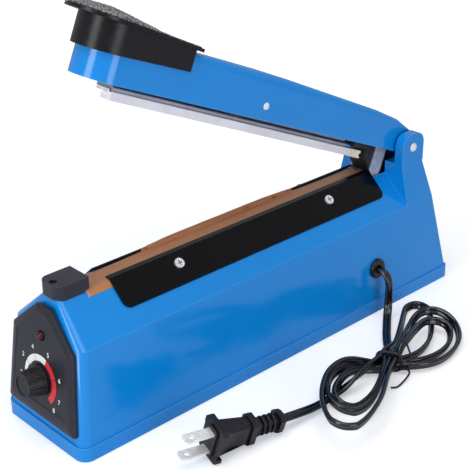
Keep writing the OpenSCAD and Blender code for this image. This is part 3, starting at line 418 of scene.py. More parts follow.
def coated_cloth():
    """Brown coated glass cloth: a fine plain weave, drifting in tone, with soft creases along it."""
    made = Stuff("coated_cloth", (0.42, 0.17, 0.07), 0.34)
    threads = []
    for way in ("X", "Y"):
        wave = made.node("ShaderNodeTexWave", Vector=made.place, Scale=0.62 / MM)
        wave.bands_direction = way
        threads.append(wave.outputs["Fac"])
    weave = made.combined("MAXIMUM", *threads)
    drift = made.ramp(made.noise(0.03, 4, 0.6, (0.35, 1.6, 1)), 0.35, 0.7)
    tone = made.blend(drift, (0.34, 0.125, 0.05), (0.46, 0.20, 0.085))
    made.to("Base Color", made.blend(made.ramp(weave, 0.4, 1, 0, 0.35), tone, (0.52, 0.26, 0.13)))
    made.uneven_gloss(0.15, 0.08)
    made.bump(weave, 0.05, 0.35).bump(made.noise(0.06, 3, 0.5, (0.3, 1.5, 1)), 0.5, 0.5)


def plain(name, colour, roughness, metallic=0.0, slot=None):
    """A small part's material, a little uneven."""
    made = Stuff(name, colour, roughness, metallic, slot=slot)
    made.mottle(0.3, 0.12).uneven_gloss(0.6, 0.06).bump(made.noise(2.0, 3), 0.03, 0.4)


def zinc():
    """Plated screws and pins, with painted shade in their recesses."""
    made = Stuff("zinc", (0.86, 0.87, 0.90), 0.3, 0.45, slot="steel")
    open_air = made.node("ShaderNodeAmbientOcclusion", Distance=1.1 * MM)
    open_air.samples = 6
    out_of_painted_shade = made.ramp(open_air.outputs["AO"], 0.45, 0.85)
    # Darker where ambient occlusion is low: painted shade in the recesses.
    made.to("Base Color", made.blend(out_of_painted_shade, (0.03, 0.03, 0.03), made.colour))
    made.uneven_gloss(0.6, 0.08).bump(made.noise(2.0, 3), 0.03, 0.4)


def make_materials():
    plastic_blue()
    plastic_black()
    plastic_knob()
    plastic_panel("panel_plastic", (0.016, 0.017, 0.026))
    # The terminal cap's plastic is the panel's made lighter: a lit copy standing in for the light on the cap's
    # top.
    plastic_panel("panel_plastic_lit_copy", (0.027, 0.027, 0.038))
    pad_grey()
    rubber("black_rubber", (0.007, 0.006, 0.010), 0.32, 0.35, 2.0, 0.4)
    rubber("cord_rubber", (0.004, 0.004, 0.007), 0.17, 0.6, 1.2, 0.35)
    dial_ink("dial_print", (0.82, 0.82, 0.82), 0.05)
    dial_ink("dial_red", (0.66, 0.02, 0.03), 0.06)
    lens_red()
    metal("steel", (0.62, 0.62, 0.64), 0.28)
    zinc()
    plain("nickel", (0.90, 0.89, 0.87), 0.2, 0.5, "steel")
    plain("strap_steel", (0.50, 0.53, 0.60), 0.42, 0.4, "steel")
    metal("bar_aluminium", (0.40, 0.40, 0.46), 0.42, (0.05, 1, 1))
    metal("brass", (0.72, 0.50, 0.20), 0.28)
    metal("element", (0.55, 0.53, 0.5), 0.35, (0.05, 1, 1))
    steel_black()
    silicone()
    coated_cloth()
    plain("copper", (0.55, 0.22, 0.07), 0.35, 0.7)
    plain("tape", (0.78, 0.70, 0.52), 0.7)
    plain("board", (0.02, 0.16, 0.04), 0.4)
    plain("relay_case", (0.02, 0.07, 0.30), 0.25)
    plain("capacitor", (0.02, 0.02, 0.06), 0.3)
    plain("nylon", (0.012, 0.012, 0.013), 0.42)
    plain("cream", (0.86, 0.82, 0.68), 0.5, slot="cream_nylon")


# ---- CAD nodes with softened edges

# node: (material, radius of its edges)
SOFTENED = {
    "base_shell": ("blue_plastic", 0.9), "base_tray": ("blue_plastic", 0.7),
    "arm_shell": ("blue_plastic", 0.9), "handle_cap": ("black_plastic", 0.5),
    # The terminal cap takes the lighter copy of the panel's plastic, which stands in for the light on its top.
    "front_panel": ("panel_plastic", 0.5), "terminal_cap": ("panel_plastic_lit_copy", 0.5),
    "press_plate_near": ("black_steel", 0.25), "press_plate_far": ("black_steel", 0.2),
    # The pivot block is a part that the hinge needs, and its black also stands in for the shade in the hollow
    # between the hinge ears.
    "press_bar": ("bar_aluminium", 0.3), "silicone_strip": ("silicone", 0.4), "pivot_block": ("nylon", 0.5),
    "lever_strap": ("strap_steel", 0.25), "timer_knob": ("knob_plastic", 0.25),
    "cord_grommet": ("black_rubber", 0.3), "plug_body": ("black_rubber", 0.6),
    "plug_blades": ("nickel", 0.25), "bar_end_clip": ("nickel", 0.15),
}
# material: the nodes that have it and whose CAD shape is right as it is
KEPT = {
    "steel": ["tray_screws", "potentiometer_body", "knob_set_screw", "transformer_core",
              "transformer_screws", "microswitch_bracket", "microswitch_screws", "spring_anchor",
              "return_spring", "lever_rivets", "cap_screws", "terminal_cap_screw"],
    "black_rubber": ["tray_pads"],
    "lamp": ["indicator_lamp"],
    "brass": ["knob_shaft", "front_terminal", "rear_terminal"],
    "board": ["timer_board"],
    "relay_case": ["board_relay"],
    "capacitor": ["board_capacitors"],
    "copper": ["transformer_coil"],
    "nylon": ["microswitch_body", "microswitch_plunger"],
    "zinc": ["hinge_pin", "bar_pivot_pin", "press_plate_screws"],
    "tape": ["element_insulation"],
    "element": ["heating_element"],
    "cream": ["strip_end_stop"],
    "black_plastic": ["cord_clamp"],
}


def joint_named(name):
    return next(joint for joint in frame["joints"] if joint["name"] == name)


def body_of(node):
    for name, members in frame["record"]["behaviour"]["bodies"].items():
        if node in members:
            return name
    raise KeyError(node)


def welded(node, gap=0.05, flat=1.2):
    """The CAD node's surface without its slivers, and with flat faces whole: gap in mm, flat in degrees."""
    source = frame["nodes"][node].data
    bm = bmesh.new()
    verts = [bm.verts.new(v.co) for v in source.vertices]
    bm.verts.ensure_lookup_table()
    for p in source.polygons:
        try:
            bm.faces.new([verts[i] for i in p.vertices])
        except ValueError:
            pass  # the same face is there already
    bmesh.ops.remove_doubles(bm, verts=bm.verts[:], dist=gap * MM)
    bmesh.ops.dissolve_degenerate(bm, edges=bm.edges[:], dist=gap * MM)
    bmesh.ops.dissolve_limit(bm, angle_limit=math.radians(flat), verts=bm.verts[:], edges=bm.edges[:])
    bmesh.ops.recalc_face_normals(bm, faces=bm.faces[:])
    return bm


def soften(obj, radius, segments=3, angle=32):
    """Rounds the piece's edges and shades it smooth."""
    for polygon in obj.data.polygons:
        polygon.use_smooth = True
    bevel = obj.modifiers.new("edges", "BEVEL")
    bevel.width = radius * MM
    bevel.segments = segments
    bevel.limit_method = "ANGLE"
    bevel.angle_limit = math.radians(angle)
    bevel.harden_normals = True
    bevel.miter_outer = "MITER_ARC"
    return obj


DRESSED = {}


def dress(node):
    """The node's own surface with rounded edges, in the node's place."""
    stuff, radius = SOFTENED[node]
    bm = welded(node)
    mesh = bpy.data.meshes.new(node + "_dressed")
    bm.to_mesh(mesh)
    bm.free()
    DRESSED[node] = soften(add_object(node + "_dressed", mesh, body_of(node), stuff, [node]), radius)


def dress_nodes():
    """Dresses the nodes that aren't dressed yet, and gives the others their materials."""
    for node in SOFTENED:
        if node not in DRESSED:
            dress(node)
    for stuff, nodes in KEPT.items():
        for node in nodes:
            coat(frame["nodes"][node].data, stuff)


# ---- mains lead

# A flat two-core lead: its width and thickness, and the gaps round it and between its strands
CORD_W, CORD_T = 5.6, 2.8
CORD_GAP, STRAND_GAP = 0.1, 0.05
# Which way its wide side points: down the wall, along the table, on edge, and then flat towards the plug
ALONG_X, ACROSS_LEAD, ON_EDGE, TAIL_FLAT = (1, 0, 0), (0.66, -0.75, 0), (0, 0, 1), (0.25, 0.93, -0.2)
PLUG_WIDE = (0.18, 0.95, 0.25)
# Middle of the tie that gathers the lead, the room that its wire takes under the lead, and how fast that ends
TIE = Vector((32.4, -90.8, 0))
TIE_LIFT, TIE_SLOPE = 1.5, 1.5
# From the grommet to the tie: the CAD model's own points but for its last, the first eight down the wall
LEAD_ROUTE = [
    (84.6, -25.2, 30.9), (84.6, -30, 31.3), (84.6, -34.2, 31.6), (84.6, -38.4, 31.7), (84.7, -42.2, 30.4),
    (84.8, -45, 26.8), (84.8, -46, 21.4), (84.6, -46.2, 15), (83.6, -47, 8.6), (80, -49.6, 4.2),
    (74, -54.4, 2.9), (66, -61, 2.9), (58, -67.4, 2.9), (51, -73.6, 3.4)]
DOWN_WALL = 8
# From the last loop to the plug, where it ends as the CAD model's tail does. The first two points are on edge
TAIL_ROUTE = [(17, -88, 3), (8, -87, 3), (0, -86.6, 3), (-8, -87, 2.8), (-16, -88.2, 2.6), (-26, -89.4, 3.3)]
TAIL_ON_EDGE = 2
PLUG_ROUTE = [(-36, -90, 4.6), (-43, -90.1, 5.8), (-50, -89.8, 6.8), (-56, -89.2, 7.6), (-61.4, -88.6, 8.1)]
# The loops as they lie on the table, each from the tie, out near the front and back behind
LOOPS = {
    "A": [(45, -93), (51, -95), (61, -94), (74, -89), (87, -81), (100, -70), (110, -59), (114, -50),
          (109, -46), (97, -51), (83, -60), (69, -69), (56, -77)],
    "B": [(43, -103), (50, -107), (60, -109), (74, -107), (90, -101), (102, -90), (109, -78), (111, -69),
          (108, -63), (100, -61), (87, -65), (75, -71), (62, -77)],
    "C": [(42, -96), (49, -100), (59, -103), (72, -102), (86, -97), (97, -88), (103, -78), (101, -72),
          (94, -70), (82, -73), (71, -76), (60, -80)],
    "G": [(17, -100), (5, -103), (-6, -105), (-16, -106), (-23, -104), (-24, -98), (-19, -92), (-12, -86),
          (-3, -81), (7, -77), (16, -76)],
    "E": [(13, -101), (1, -107), (-9, -110), (-18, -110), (-23, -107), (-24, -101), (-21, -93), (-16, -85),
          (-8, -77), (2, -71), (11, -69), (18, -70)],
    "D": [(17, -102), (7, -108), (-5, -113), (-16, -117), (-27, -119), (-34, -118), (-37, -113), (-35, -105),
          (-30, -96), (-23, -87), (-14, -79), (-4, -72), (7, -67), (17, -66)],
}
# Which lies over which where they cross away from the tie, and in the tie
RANKS = {"tail": 0, "A": 1, "G": 1, "B": 2, "E": 2, "C": 3, "D": 3, "lead": 4}
PASSES = {"fall": 1, "rise": 2}
# The order of the winding. A pass through the tie is (kind, distance from the middle, 1 rightwards or -1):
# a rise goes from the left front to the right back, over the falls from the left back to the right front
WINDING = [("rise", 1.6, -1), "G", ("fall", -3.2, 1), "B", ("rise", -1.6, -1), "E", ("fall", 0, 1), "C",
           ("rise", -4.8, -1), "D", ("fall", 3.2, 1), "A", ("rise", 4.8, -1)]
# A pass's slant in degrees, half its length, and how far from the tie its points count as a pass's
PASS_ANGLE, PASS_HALF, PASS_REACH = 20, 9, 30
# How far the lead leans outwards in a loop, in degrees
LOOP_LEAN = 24
# Points at the start and the end of the lead that keep their traced heights, and that keep their place
SET_START, SET_END = 60, 24
HELD_START, HELD_END = 44, 20
# Distances from the tie's middle: the stretch that it holds, and the bed of wire under the lead
TIE_HOLD, TIE_BED = 9, 26


def ease(f):
    """A smooth step from 0 to 1."""
    f = min(1.0, max(0.0, f))
    return f * f * (3 - 2 * f)


def from_tie(p):
    return (p - TIE).xy.length


def tie_pass(kind, offset, way):
    """Three points straight through the tie."""
    angle = math.radians(PASS_ANGLE if kind == "rise" else -PASS_ANGLE)
    along = Vector((math.cos(angle), math.sin(angle), 0)) * PASS_HALF * way
    middle = TIE + Vector((0, offset, CORD_W / 2))
    return [middle - along, middle, middle + along]


def loop_wide(points, p):
    """Wide direction of the lead in a loop: on edge, with its top leaning outwards."""
    centre = sum(points, Vector()) / len(points)
    outward = (p - centre).normalized()
    lean = math.radians(LOOP_LEAN)
    return Vector(ON_EDGE) * math.cos(lean) + outward * math.sin(lean)


def lead_plan():
    """The route's points, each with its wide direction, its rank, and its kind where it is a pass."""
    plan = [(Vector(p), Vector(ALONG_X if i < DOWN_WALL else ACROSS_LEAD), RANKS["lead"], 0)
            for i, p in enumerate(LEAD_ROUTE)]
    for k, step in enumerate(WINDING):
        if isinstance(step, str):
            points = [Vector((x, y, CORD_W / 2)) for x, y in LOOPS[step]]
            plan += [(p, loop_wide(points, p), RANKS[step], 0) for p in points]
        else:
            before = RANKS[WINDING[k - 1]] if k else RANKS["lead"]
            after = RANKS[WINDING[k + 1]] if k + 1 < len(WINDING) else RANKS["tail"]
            ranks = (before, before, after)
            plan += [(p, Vector(ON_EDGE), r, PASSES[step[0]]) for p, r in zip(tie_pass(*step), ranks)]
    plan += [(Vector(p), Vector(ON_EDGE if i < TAIL_ON_EDGE else TAIL_FLAT), RANKS["tail"], 0)
             for i, p in enumerate(TAIL_ROUTE)]
    return plan + [(Vector(p), Vector(PLUG_WIDE), RANKS["tail"], 0) for p in PLUG_ROUTE]


def lay_out(plan, step=1.6, per_span=8):
    """Evenly spaced points along the plan, with the wide direction, the rank and the kind at each."""
    rough = smooth_route([entry[0] for entry in plan], per_span)
    lengths = [0.0]
    for a, b in zip(rough, rough[1:]):
        lengths.append(lengths[-1] + (b - a).length)
    count = round(lengths[-1] / step)
    line, wide, rank, kind, i = [], [], [], [], 0
    marks = [k * per_span for k, entry in enumerate(plan) if entry[3]]
    for k in range(count + 1):
        want = lengths[-1] * k / count
        while i < len(rough) - 2 and lengths[i + 1] < want:
            i += 1
        part = (want - lengths[i]) / (lengths[i + 1] - lengths[i])
        p = rough[i].lerp(rough[i + 1], part)
        place = (i + part) / per_span
        low = min(int(place), len(plan) - 2)
        one, two = plan[low][1], plan[low + 1][1]
        near = min(marks, key=lambda m: abs(m - i))
        line.append(p)
        wide.append(one.lerp(two if one.dot(two) >= 0 else -two, place - low))
        rank.append(plan[min(round(place), len(plan) - 1)][2])
        kind.append(plan[near // per_span][3] if from_tie(p) < PASS_REACH else 0)
    return line, wide, rank, kind


def settle_wide(line, wide, reach=6):
    """Evens out the wide directions along the line and squares them to it."""
    for i in range(1, len(wide)):
        if wide[i].dot(wide[i - 1]) < 0:
            wide[i] = -wide[i]
    return [squared(sum(wide[max(0, i - reach):i + reach + 1], Vector()), direction(line, i))
            for i in range(len(line))]


def raised(p, z, still=12, blend=18):
    """The point at the height z that the camera sees in p's place, or straight above p near the tie."""
    eye = EYE / MM
    shift = (eye - p).xy * ((z - p.z) / (eye.z - p.z)) * ease((from_tie(p) - still) / blend)
    return Vector((p.x + shift.x, p.y + shift.y, z))


def strands_under(line, rank, kind, apart=CORD_T + CORD_GAP, size=6, same_strand=12):
    """For each point, the points of other strands that it has to lie on."""
    cells, out = {}, []
    for i, p in enumerate(line):
        cells.setdefault((p.x // size, p.y // size), []).append(i)
    for i, p in enumerate(line):
        under = []
        for cell in ((p.x // size + a, p.y // size + b) for a in (-1, 0, 1) for b in (-1, 0, 1)):
            for j in cells.get(cell, []):
                mine, other = (kind[i], kind[j]) if kind[i] and kind[j] else (rank[i], rank[j])
                if mine > other and abs(i - j) > same_strand and (p - line[j]).xy.length < apart:
                    under.append(j)
        out.append(under)
    return out


def mean_near(line, i, reach):
    """Middle of the points up to reach before and after the point i."""
    return sum(line[i - reach:i + reach + 1], Vector()) / (2 * reach + 1)


def bed_height(p, half):
    """Lowest height for the lead's middle: on the table, or on the tie's wire."""
    near_tie = max(0.0, 1 - (from_tie(p) / TIE_BED) ** 2)
    return half + CORD_GAP + TIE_LIFT * min(1, near_tie * TIE_SLOPE)


def settle_heights(flat, wide, rank, kind, hold=3, ramp=7, rounds=9, most=15.5):
    """Lifts the lead where it passes over itself, in humps that hold for a few points and fall smoothly."""
    last = len(flat) - 1
    loose = range(SET_START, last - SET_END)
    half = [CORD_T / 2 * (1 + abs(w.z)) for w in wide]
    floor = [bed_height(p, h) for p, h in zip(flat, half)]
    height = [floor[i] if i in loose else max(flat[i].z, floor[i]) for i in range(last + 1)]
    lowest = list(height)
    weights = [1 + math.cos(math.pi * k / (ramp + 1)) for k in range(-ramp, ramp + 1)]
    wing = hold + ramp

    def lifted():
        return [raised(p, z) if i in loose else Vector((p.x, p.y, z))
                for i, (p, z) in enumerate(zip(flat, height))]

    for _ in range(rounds):
        under = strands_under(lifted(), rank, kind)
        need = [min(most, max([lowest[i]] + [height[j] + half[j] + half[i] + STRAND_GAP for j in under[i]]))
                for i in range(last + 1)]
        held = [max(need[max(0, i - wing):i + wing + 1]) if i in loose else need[i] for i in range(last + 1)]
        for i in loose:
            even = sum(w * held[min(i + k - ramp, last)] for k, w in enumerate(weights)) / sum(weights)
            height[i] = max(height[i], even)
    return eased(gathered(lifted()), range(HELD_START, last - HELD_END))


def gathered(line, near=6, far=42, reach=4, rounds=4):
    """Evens out the line's bends on either side of the tie, between near and far from it."""
    for _ in range(rounds):
        even = list(line)
        for i in range(HELD_START, len(line) - 1 - HELD_END):
            if near < from_tie(line[i]) < far:
                mean = mean_near(line, i, reach)
                even[i] = Vector((mean.x, mean.y, line[i].z))
        line = even
    return line


def bend_radius(a, b, c):
    """Radius of the circle through three points."""
    return (b - a).length * (c - b).length * (c - a).length / max(1e-9, 2 * (b - a).cross(c - a).length)


def eased(line, loose, least=8.5, span=4, rounds=160, reach=3, first_rounds=3):
    """Evens out small waves and opens the bends tighter than the least radius, outside the tie."""
    free = [i in loose for i in range(len(line))]
    for _ in range(first_rounds):
        line = [mean_near(line, i, reach) if free[i] and from_tie(p) > TIE_HOLD else p
                for i, p in enumerate(line)]
    for _ in range(rounds):
        tight = set()
        for i in loose:
            if from_tie(line[i]) > TIE_HOLD and bend_radius(line[i - span], line[i], line[i + span]) < least:
                tight.update(j for j in range(i - span, i + span + 1) if free[j])
        even = list(line)
        for i in tight:
            even[i] = (line[i - 1] + line[i] * 2 + line[i + 1]) / 4
        line = even
    return line


def twin_section(count=9, turn=118, groove=0.66):
    """Two round cores side by side as (across, up), with a groove between them at a share of their radius."""
    r = CORD_T / 2
    angles = [math.radians(turn) * (2 * k / count - 1) for k in range(count + 1)]
    right = [(r + r * math.cos(a), r * math.sin(a)) for a in angles]
    left = [(-x, -y) for x, y in right]
    return right + [(0, r * groove)] + left + [(0, -r * groove)]


def tie_wire():
    """The wire that gathers the lead: twice round it, twisted together, with two loose ends."""
    away = math.radians(30)
    out = Vector((math.sin(away), -math.cos(away), 0))
    side = Vector((math.cos(away), math.sin(away), 0))
    up = Vector((0, 0, 1))
    wire_r, half, low, high, knot_out, knot_high = 0.62, 8.0, 0.75, 14.0, 0.6, 4.2
    turns, first_angle, pitch, squareness = 2, -35, 1.0, 0.62
    twist_turns, twist_length, twist_r = 1.25, 3.6, 0.8
    middle = TIE + up * ((low + high) / 2)
    knot = TIE + out * (half + knot_out) + up * knot_high

    def ring(f):
        angle = math.radians(first_angle + 360 * turns * f)
        c, s = math.cos(angle), math.sin(angle)
        a, b = math.copysign(abs(c) ** squareness, c), math.copysign(abs(s) ** squareness, s)
        return middle + out * half * a + up * ((high - low) / 2 * b) + side * (pitch * (turns * f - 1))

    def twisted(f, start):
        angle = start + math.tau * twist_turns * f
        return knot + out * twist_length * f + (side * math.cos(angle) + up * math.sin(angle)) * twist_r

    up_end = [knot + Vector(p) for p in ((6.6, 3.4, 14.0), (6.8, 1.2, 9.6), (5.6, -2.4, 4.6))]
    down_end = [knot + Vector(p) for p in ((-0.6, -6.0, -1.2), (-7.5, -7.4, -2.9),
                                           (-14.5, -8.2, -3.45), (-18.0, -6.2, -3.2))]
    points = up_end + [twisted(1 - k / 8, 0) for k in range(9)]
    points += [ring(k / 64) for k in range(65)]
    points += [twisted(k / 8, math.pi) for k in range(9)] + down_end
    line = spaced(smooth_route(points, 4), 0.7)
    section = [(wire_r * math.cos(math.tau * k / 8), wire_r * math.sin(math.tau * k / 8)) for k in range(8)]
    mesh = sweep("cord_tie_wire", line, section, frame_along(line))
    return add_object("cord_tie_wire", mesh, "base", "black_rubber", ["cord_tie"])


def make_lead():
    line, wide, rank, kind = lay_out(lead_plan())
    wide = settle_wide(line, wide)
    line = settle_heights(line, wide, rank, kind)
    wide = settle_wide(line, wide, 2)
    lead = add_object("mains_lead", sweep("mains_lead", line, twin_section(), wide), "base", "cord_rubber",
                      ["cord_lead", "cord_loops_right", "cord_loops_left", "cord_tail"])
    ends = ("cord_grommet", "plug_body", "plug_blades")
    for node in ends:
        dress(node)
    [DRESSED[node] for node in ends] + [tie_wire()]


# ---- printed dial

# Inner and outer radius of the arc, and how far the print stands up
DIAL_IN, DIAL_OUT, DIAL_T = 11.0, 14.83, 0.12
# Where the numbers stand, in degrees clockwise from the top
DIAL_NUMBERS = {1: -140, 2: -101, 3: -62, 4: -24, 5: 21, 6: 69, 7: 111, 8: 137}
# Where the arc starts, turns from white to red, and ends
DIAL_FIRST, DIAL_TURN, DIAL_LAST = -93, 21, 137
# Width of the first stretch of the white arc at its start, and how much thinner than the others it ends
THIN_W, THIN_LESS = 1.9, 0.7
# The numbers' distance from the middle and their height, and the gap in the arc at each, in degrees
NUMBER_R, NUMBER_H, TICK = 18.9, 2.9, 1.6
# A digit's height as a share of its font's size
DIGIT_SHARE = 0.7


def dial_axes():
    """The dial's middle on the panel's face, with its right, up and outward directions."""
    joint = joint_named("timer_knob_turn")
    out = -Vector(joint["axis"]).normalized()
    pivot = Vector(joint["pos_m"]) / MM
    dial = frame["nodes"]["timer_dial"].data
    depth = min((v.co / MM - pivot).dot(out) for v in dial.vertices)
    right = Vector((0, -1, 0))
    return pivot + out * depth, right, out.cross(right), out


def arc_points(start, end, inner_start, inner_end, count):
    """Corner points of a stretch of ring, (right, up), with its inner radius changing along it."""
    steps = [start + (end - start) * k / count for k in range(count + 1)]
    radii = [inner_start + (inner_end - inner_start) * k / count for k in range(count + 1)]
    polar = [(math.radians(a), DIAL_OUT) for a in steps]
    polar += [(math.radians(a), r) for a, r in reversed(list(zip(steps, radii)))]
    return [(r * math.sin(a), r * math.cos(a)) for a, r in polar]


def printed(name, stretches, stuff, replaced=(), step=3):
    """Raised print on the panel from a list of stretches of ring, with a point every few degrees."""
    middle, right, up, out = dial_axes()
    points, faces = [], []
    for start, end, inner_start, inner_end in stretches:
        count = max(2, round((end - start) / step))
        flat = arc_points(start, end, inner_start, inner_end, count)
        first, n = len(points), len(flat)
        for lift in (0, DIAL_T):
            points += [middle + right * x + up * y + out * lift for x, y in flat]
        for k in range(n):
            m = (k + 1) % n
            faces.append((first + k, first + m, first + n + m, first + n + k))
        for level, flip in ((0, True), (n, False)):
            for k in range(count):
                quad = [first + level + i for i in (k, k + 1, n - 2 - k, n - 1 - k)]
                faces.append(tuple(reversed(quad)) if flip else tuple(quad))
    return add_object(name, faced_out(mesh_of(name, points, faces, smooth=False)), "base", stuff, replaced)


def dial_number(number, angle):
    """A number standing upright at its place round the dial."""
    middle, right, up, out = dial_axes()
    curve = bpy.data.curves.new("number", "FONT")
    curve.body = str(number)
    curve.size = NUMBER_H / DIGIT_SHARE * MM
    curve.extrude = DIAL_T / 2 * MM
    curve.align_x = curve.align_y = "CENTER"
    maker = new_object("number", curve)
    bpy.context.view_layer.update()
    mesh = bpy.data.meshes.new_from_object(maker.evaluated_get(bpy.context.evaluated_depsgraph_get()))
    bpy.data.objects.remove(maker)
    turn = math.radians(angle)
    place = middle + right * NUMBER_R * math.sin(turn) + up * NUMBER_R * math.cos(turn) + out * DIAL_T / 2
    mesh.transform(Matrix.Translation(place * MM) @ Matrix((right, up, out)).transposed().to_4x4())
    add_object(f"dial_number_{number}", mesh, "base", "dial_print")


def make_dial():
    """The white and red arc, with a gap at each number, and the numbers."""
    half = TICK / 2
    angles = list(DIAL_NUMBERS.values())
    white = []
    start, inner_start, inner_end = DIAL_FIRST, DIAL_OUT - THIN_W, DIAL_IN + THIN_LESS
    for mark in [a for a in angles if DIAL_FIRST < a < DIAL_TURN] + [DIAL_TURN]:
        white.append((start, mark - half, inner_start, inner_end))
        start, inner_start, inner_end = mark + half, DIAL_IN, DIAL_IN
    printed("dial_white_arc", white, "dial_print", ["timer_dial"])
    red = []
    for mark in [a for a in angles if DIAL_TURN < a < DIAL_LAST] + [DIAL_LAST + half]:
        red.append((start, mark - half, DIAL_IN, DIAL_IN))
        start = mark + half
    printed("dial_red_arc", red, "dial_red")
    for number, angle in DIAL_NUMBERS.items():
        dial_number(number, angle)


# ---- hand rest

# How far the arm stands open, in degrees, as in the CAD model
ARM_OPEN = 23.7
# Height of the pad's crown along the arm, by distance from the hinge axis
PAD_CROWN = [(201, 24.2), (211, 25.1), (222, 25.9), (234, 27.3), (241, 28.7), (254, 30.9), (264, 32.1),
             (270, 31.9), (277, 30.2)]
# The pad's rim, the least that its crown stands over its underside, and how far the skin stays below it
PAD_RIM, PAD_LEAST, PAD_SKIN = 0.6, 0.7, 0.25
# How squarely the dome falls off at its sides, how full its top is, and how its ends rise
DOME_SIDES, DOME_TOP, DOME_ENDS = 3.2, 0.75, 0.5
# The size and the height of the grain's pebbles
PEBBLE, PEBBLE_H = 1.55, 0.34


def arm_axes():
    """The hinge axis, and the arm's forward and upward directions at rest."""
    c, s = math.cos(math.radians(ARM_OPEN)), math.sin(math.radians(ARM_OPEN))
    return Vector(joint_named("arm_hinge")["pos_m"]) / MM, Vector((-c, 0, s)), Vector((s, 0, c))


def between(table, x):
    """The table's value at x, on straight lines between its rows."""
    for (x0, y0), (x1, y1) in zip(table, table[1:]):
        if x <= x1:
            return y0 + (y1 - y0) * min(1, max(0, (x - x0) / (x1 - x0)))
    return table[-1][1]


def node_tree(node):
    """The CAD node's surface, to cast rays at."""
    source = frame["nodes"][node].data
    return BVHTree.FromPolygons([v.co for v in source.vertices], [tuple(p.vertices) for p in source.polygons])


def pad_grain(u, y, side):
    """Height of the grain at a place on the pad, fading out at its sides."""
    nearest = noise.voronoi(Vector((u, y, 0)) / PEBBLE)[0][0]
    return PEBBLE_H * (1 - min(1.0, (nearest / 0.6) ** 2)) * min(1, 6 * (1 - abs(side)))


def make_pad():
    """The grained, padded top of the hand rest, with the CAD pad's outline."""
    pivot, forward, upward = arm_axes()
    tree = node_tree("hand_rest_pad")
    ahead = [(v.co / MM - pivot).dot(forward) for v in frame["nodes"]["hand_rest_pad"].data.vertices]
    first, last = min(ahead) + 0.05, max(ahead) - 0.05
    rows, columns, front_rows = 190, 104, 1.35  # the rows lie closer together towards the front
    below, beside = 20, 60  # where the rays that find the pad's underside and its side start
    rear_rise, front_fall, front_step = 3, 9, 0.12  # how the pad rises and falls at its ends
    top, under = [], []
    for i in range(rows + 1):
        u = first + (last - first) * (1 - (1 - i / rows) ** front_rows)
        above = pivot + forward * u
        down = tree.ray_cast((above - upward * below) * MM, upward)[0]
        low = (down / MM - pivot).dot(upward) if down else 0
        hit = tree.ray_cast((above + upward * (low + PAD_RIM / 2) + Vector((0, beside, 0))) * MM,
                            Vector((0, -1, 0)))[0]
        half = hit.y / MM if hit else 0.5
        crown = max(between(PAD_CROWN, u), low + PAD_LEAST)
        end = min(1.0, (u - first) / rear_rise, (last - u) / front_fall + front_step)
        for k in range(columns + 1):
            side = math.sin(math.pi / 2 * (2 * k / columns - 1))
            dome = (1 - abs(side) ** DOME_SIDES) ** DOME_TOP * end ** DOME_ENDS
            v = low + PAD_RIM + (crown - low - PAD_RIM - PAD_SKIN) * dome + pad_grain(u, side * half, side)
            spot = pivot + forward * u + Vector((0, side * half, 0))
            top.append(spot + upward * v)
            under.append(spot + upward * low)
    mesh = closed_sheet("hand_rest_pad_grained", top, under, rows, columns)
    pad = add_object("hand_rest_pad_grained", mesh, body_of("hand_rest_pad"), "grey_pad", ["hand_rest_pad"])


# ---- cover sheet

# The cloth's thickness, how far its edges stay inside the CAD sheet's, and its gap over the far plate
CLOTH_T, CLOTH_INSET, CLOTH_GAP = 0.22, 0.25, 0.1
# Its creases' height, how far out they reach, and how much lower than the CAD sheet's top it lies
CREASE_H, CREASE_REACH, CLOTH_SUNK = 0.22, 9, 0.12
# Where the frayed rear end starts, as a share of the length, with its ruffle's height and its jags' length
FRAYED_FROM, RUFFLE_H, JAG = 0.955, 1.9, 1.3
# Where the swell in the far edge starts and how long it is, as shares of the length, and how full it is
SWELL_FROM, SWELL_LONG, SWELL_FULL = 0.1, 0.78, 1.15
# The swell's height, and across the sheet where its curve starts and how much of a half wave it makes
SWELL_H, SWELL_Y, SWELL_ARC = 2.3, 4.1, 0.8
# Where the far edge lies, and how much further out the swell carries it, over the far plate's edge
EDGE_Y, EDGE_SWELL = 5.8, 2.1
# How far the near and the far edge wander, and where before the far plate the far edge comes in, and how fast
NEAR_WAVE, FAR_WAVE, COME_IN, COME_OVER = 0.35, 0.25, 7, 5
# The distance from the middle that stays smooth, as the strip's end stop comes down there
STOP_CLEAR = 4.6


def wave(*place):
    """Smooth noise. A length over a number has waves of about that many millimetres."""
    return noise.noise(Vector(place))


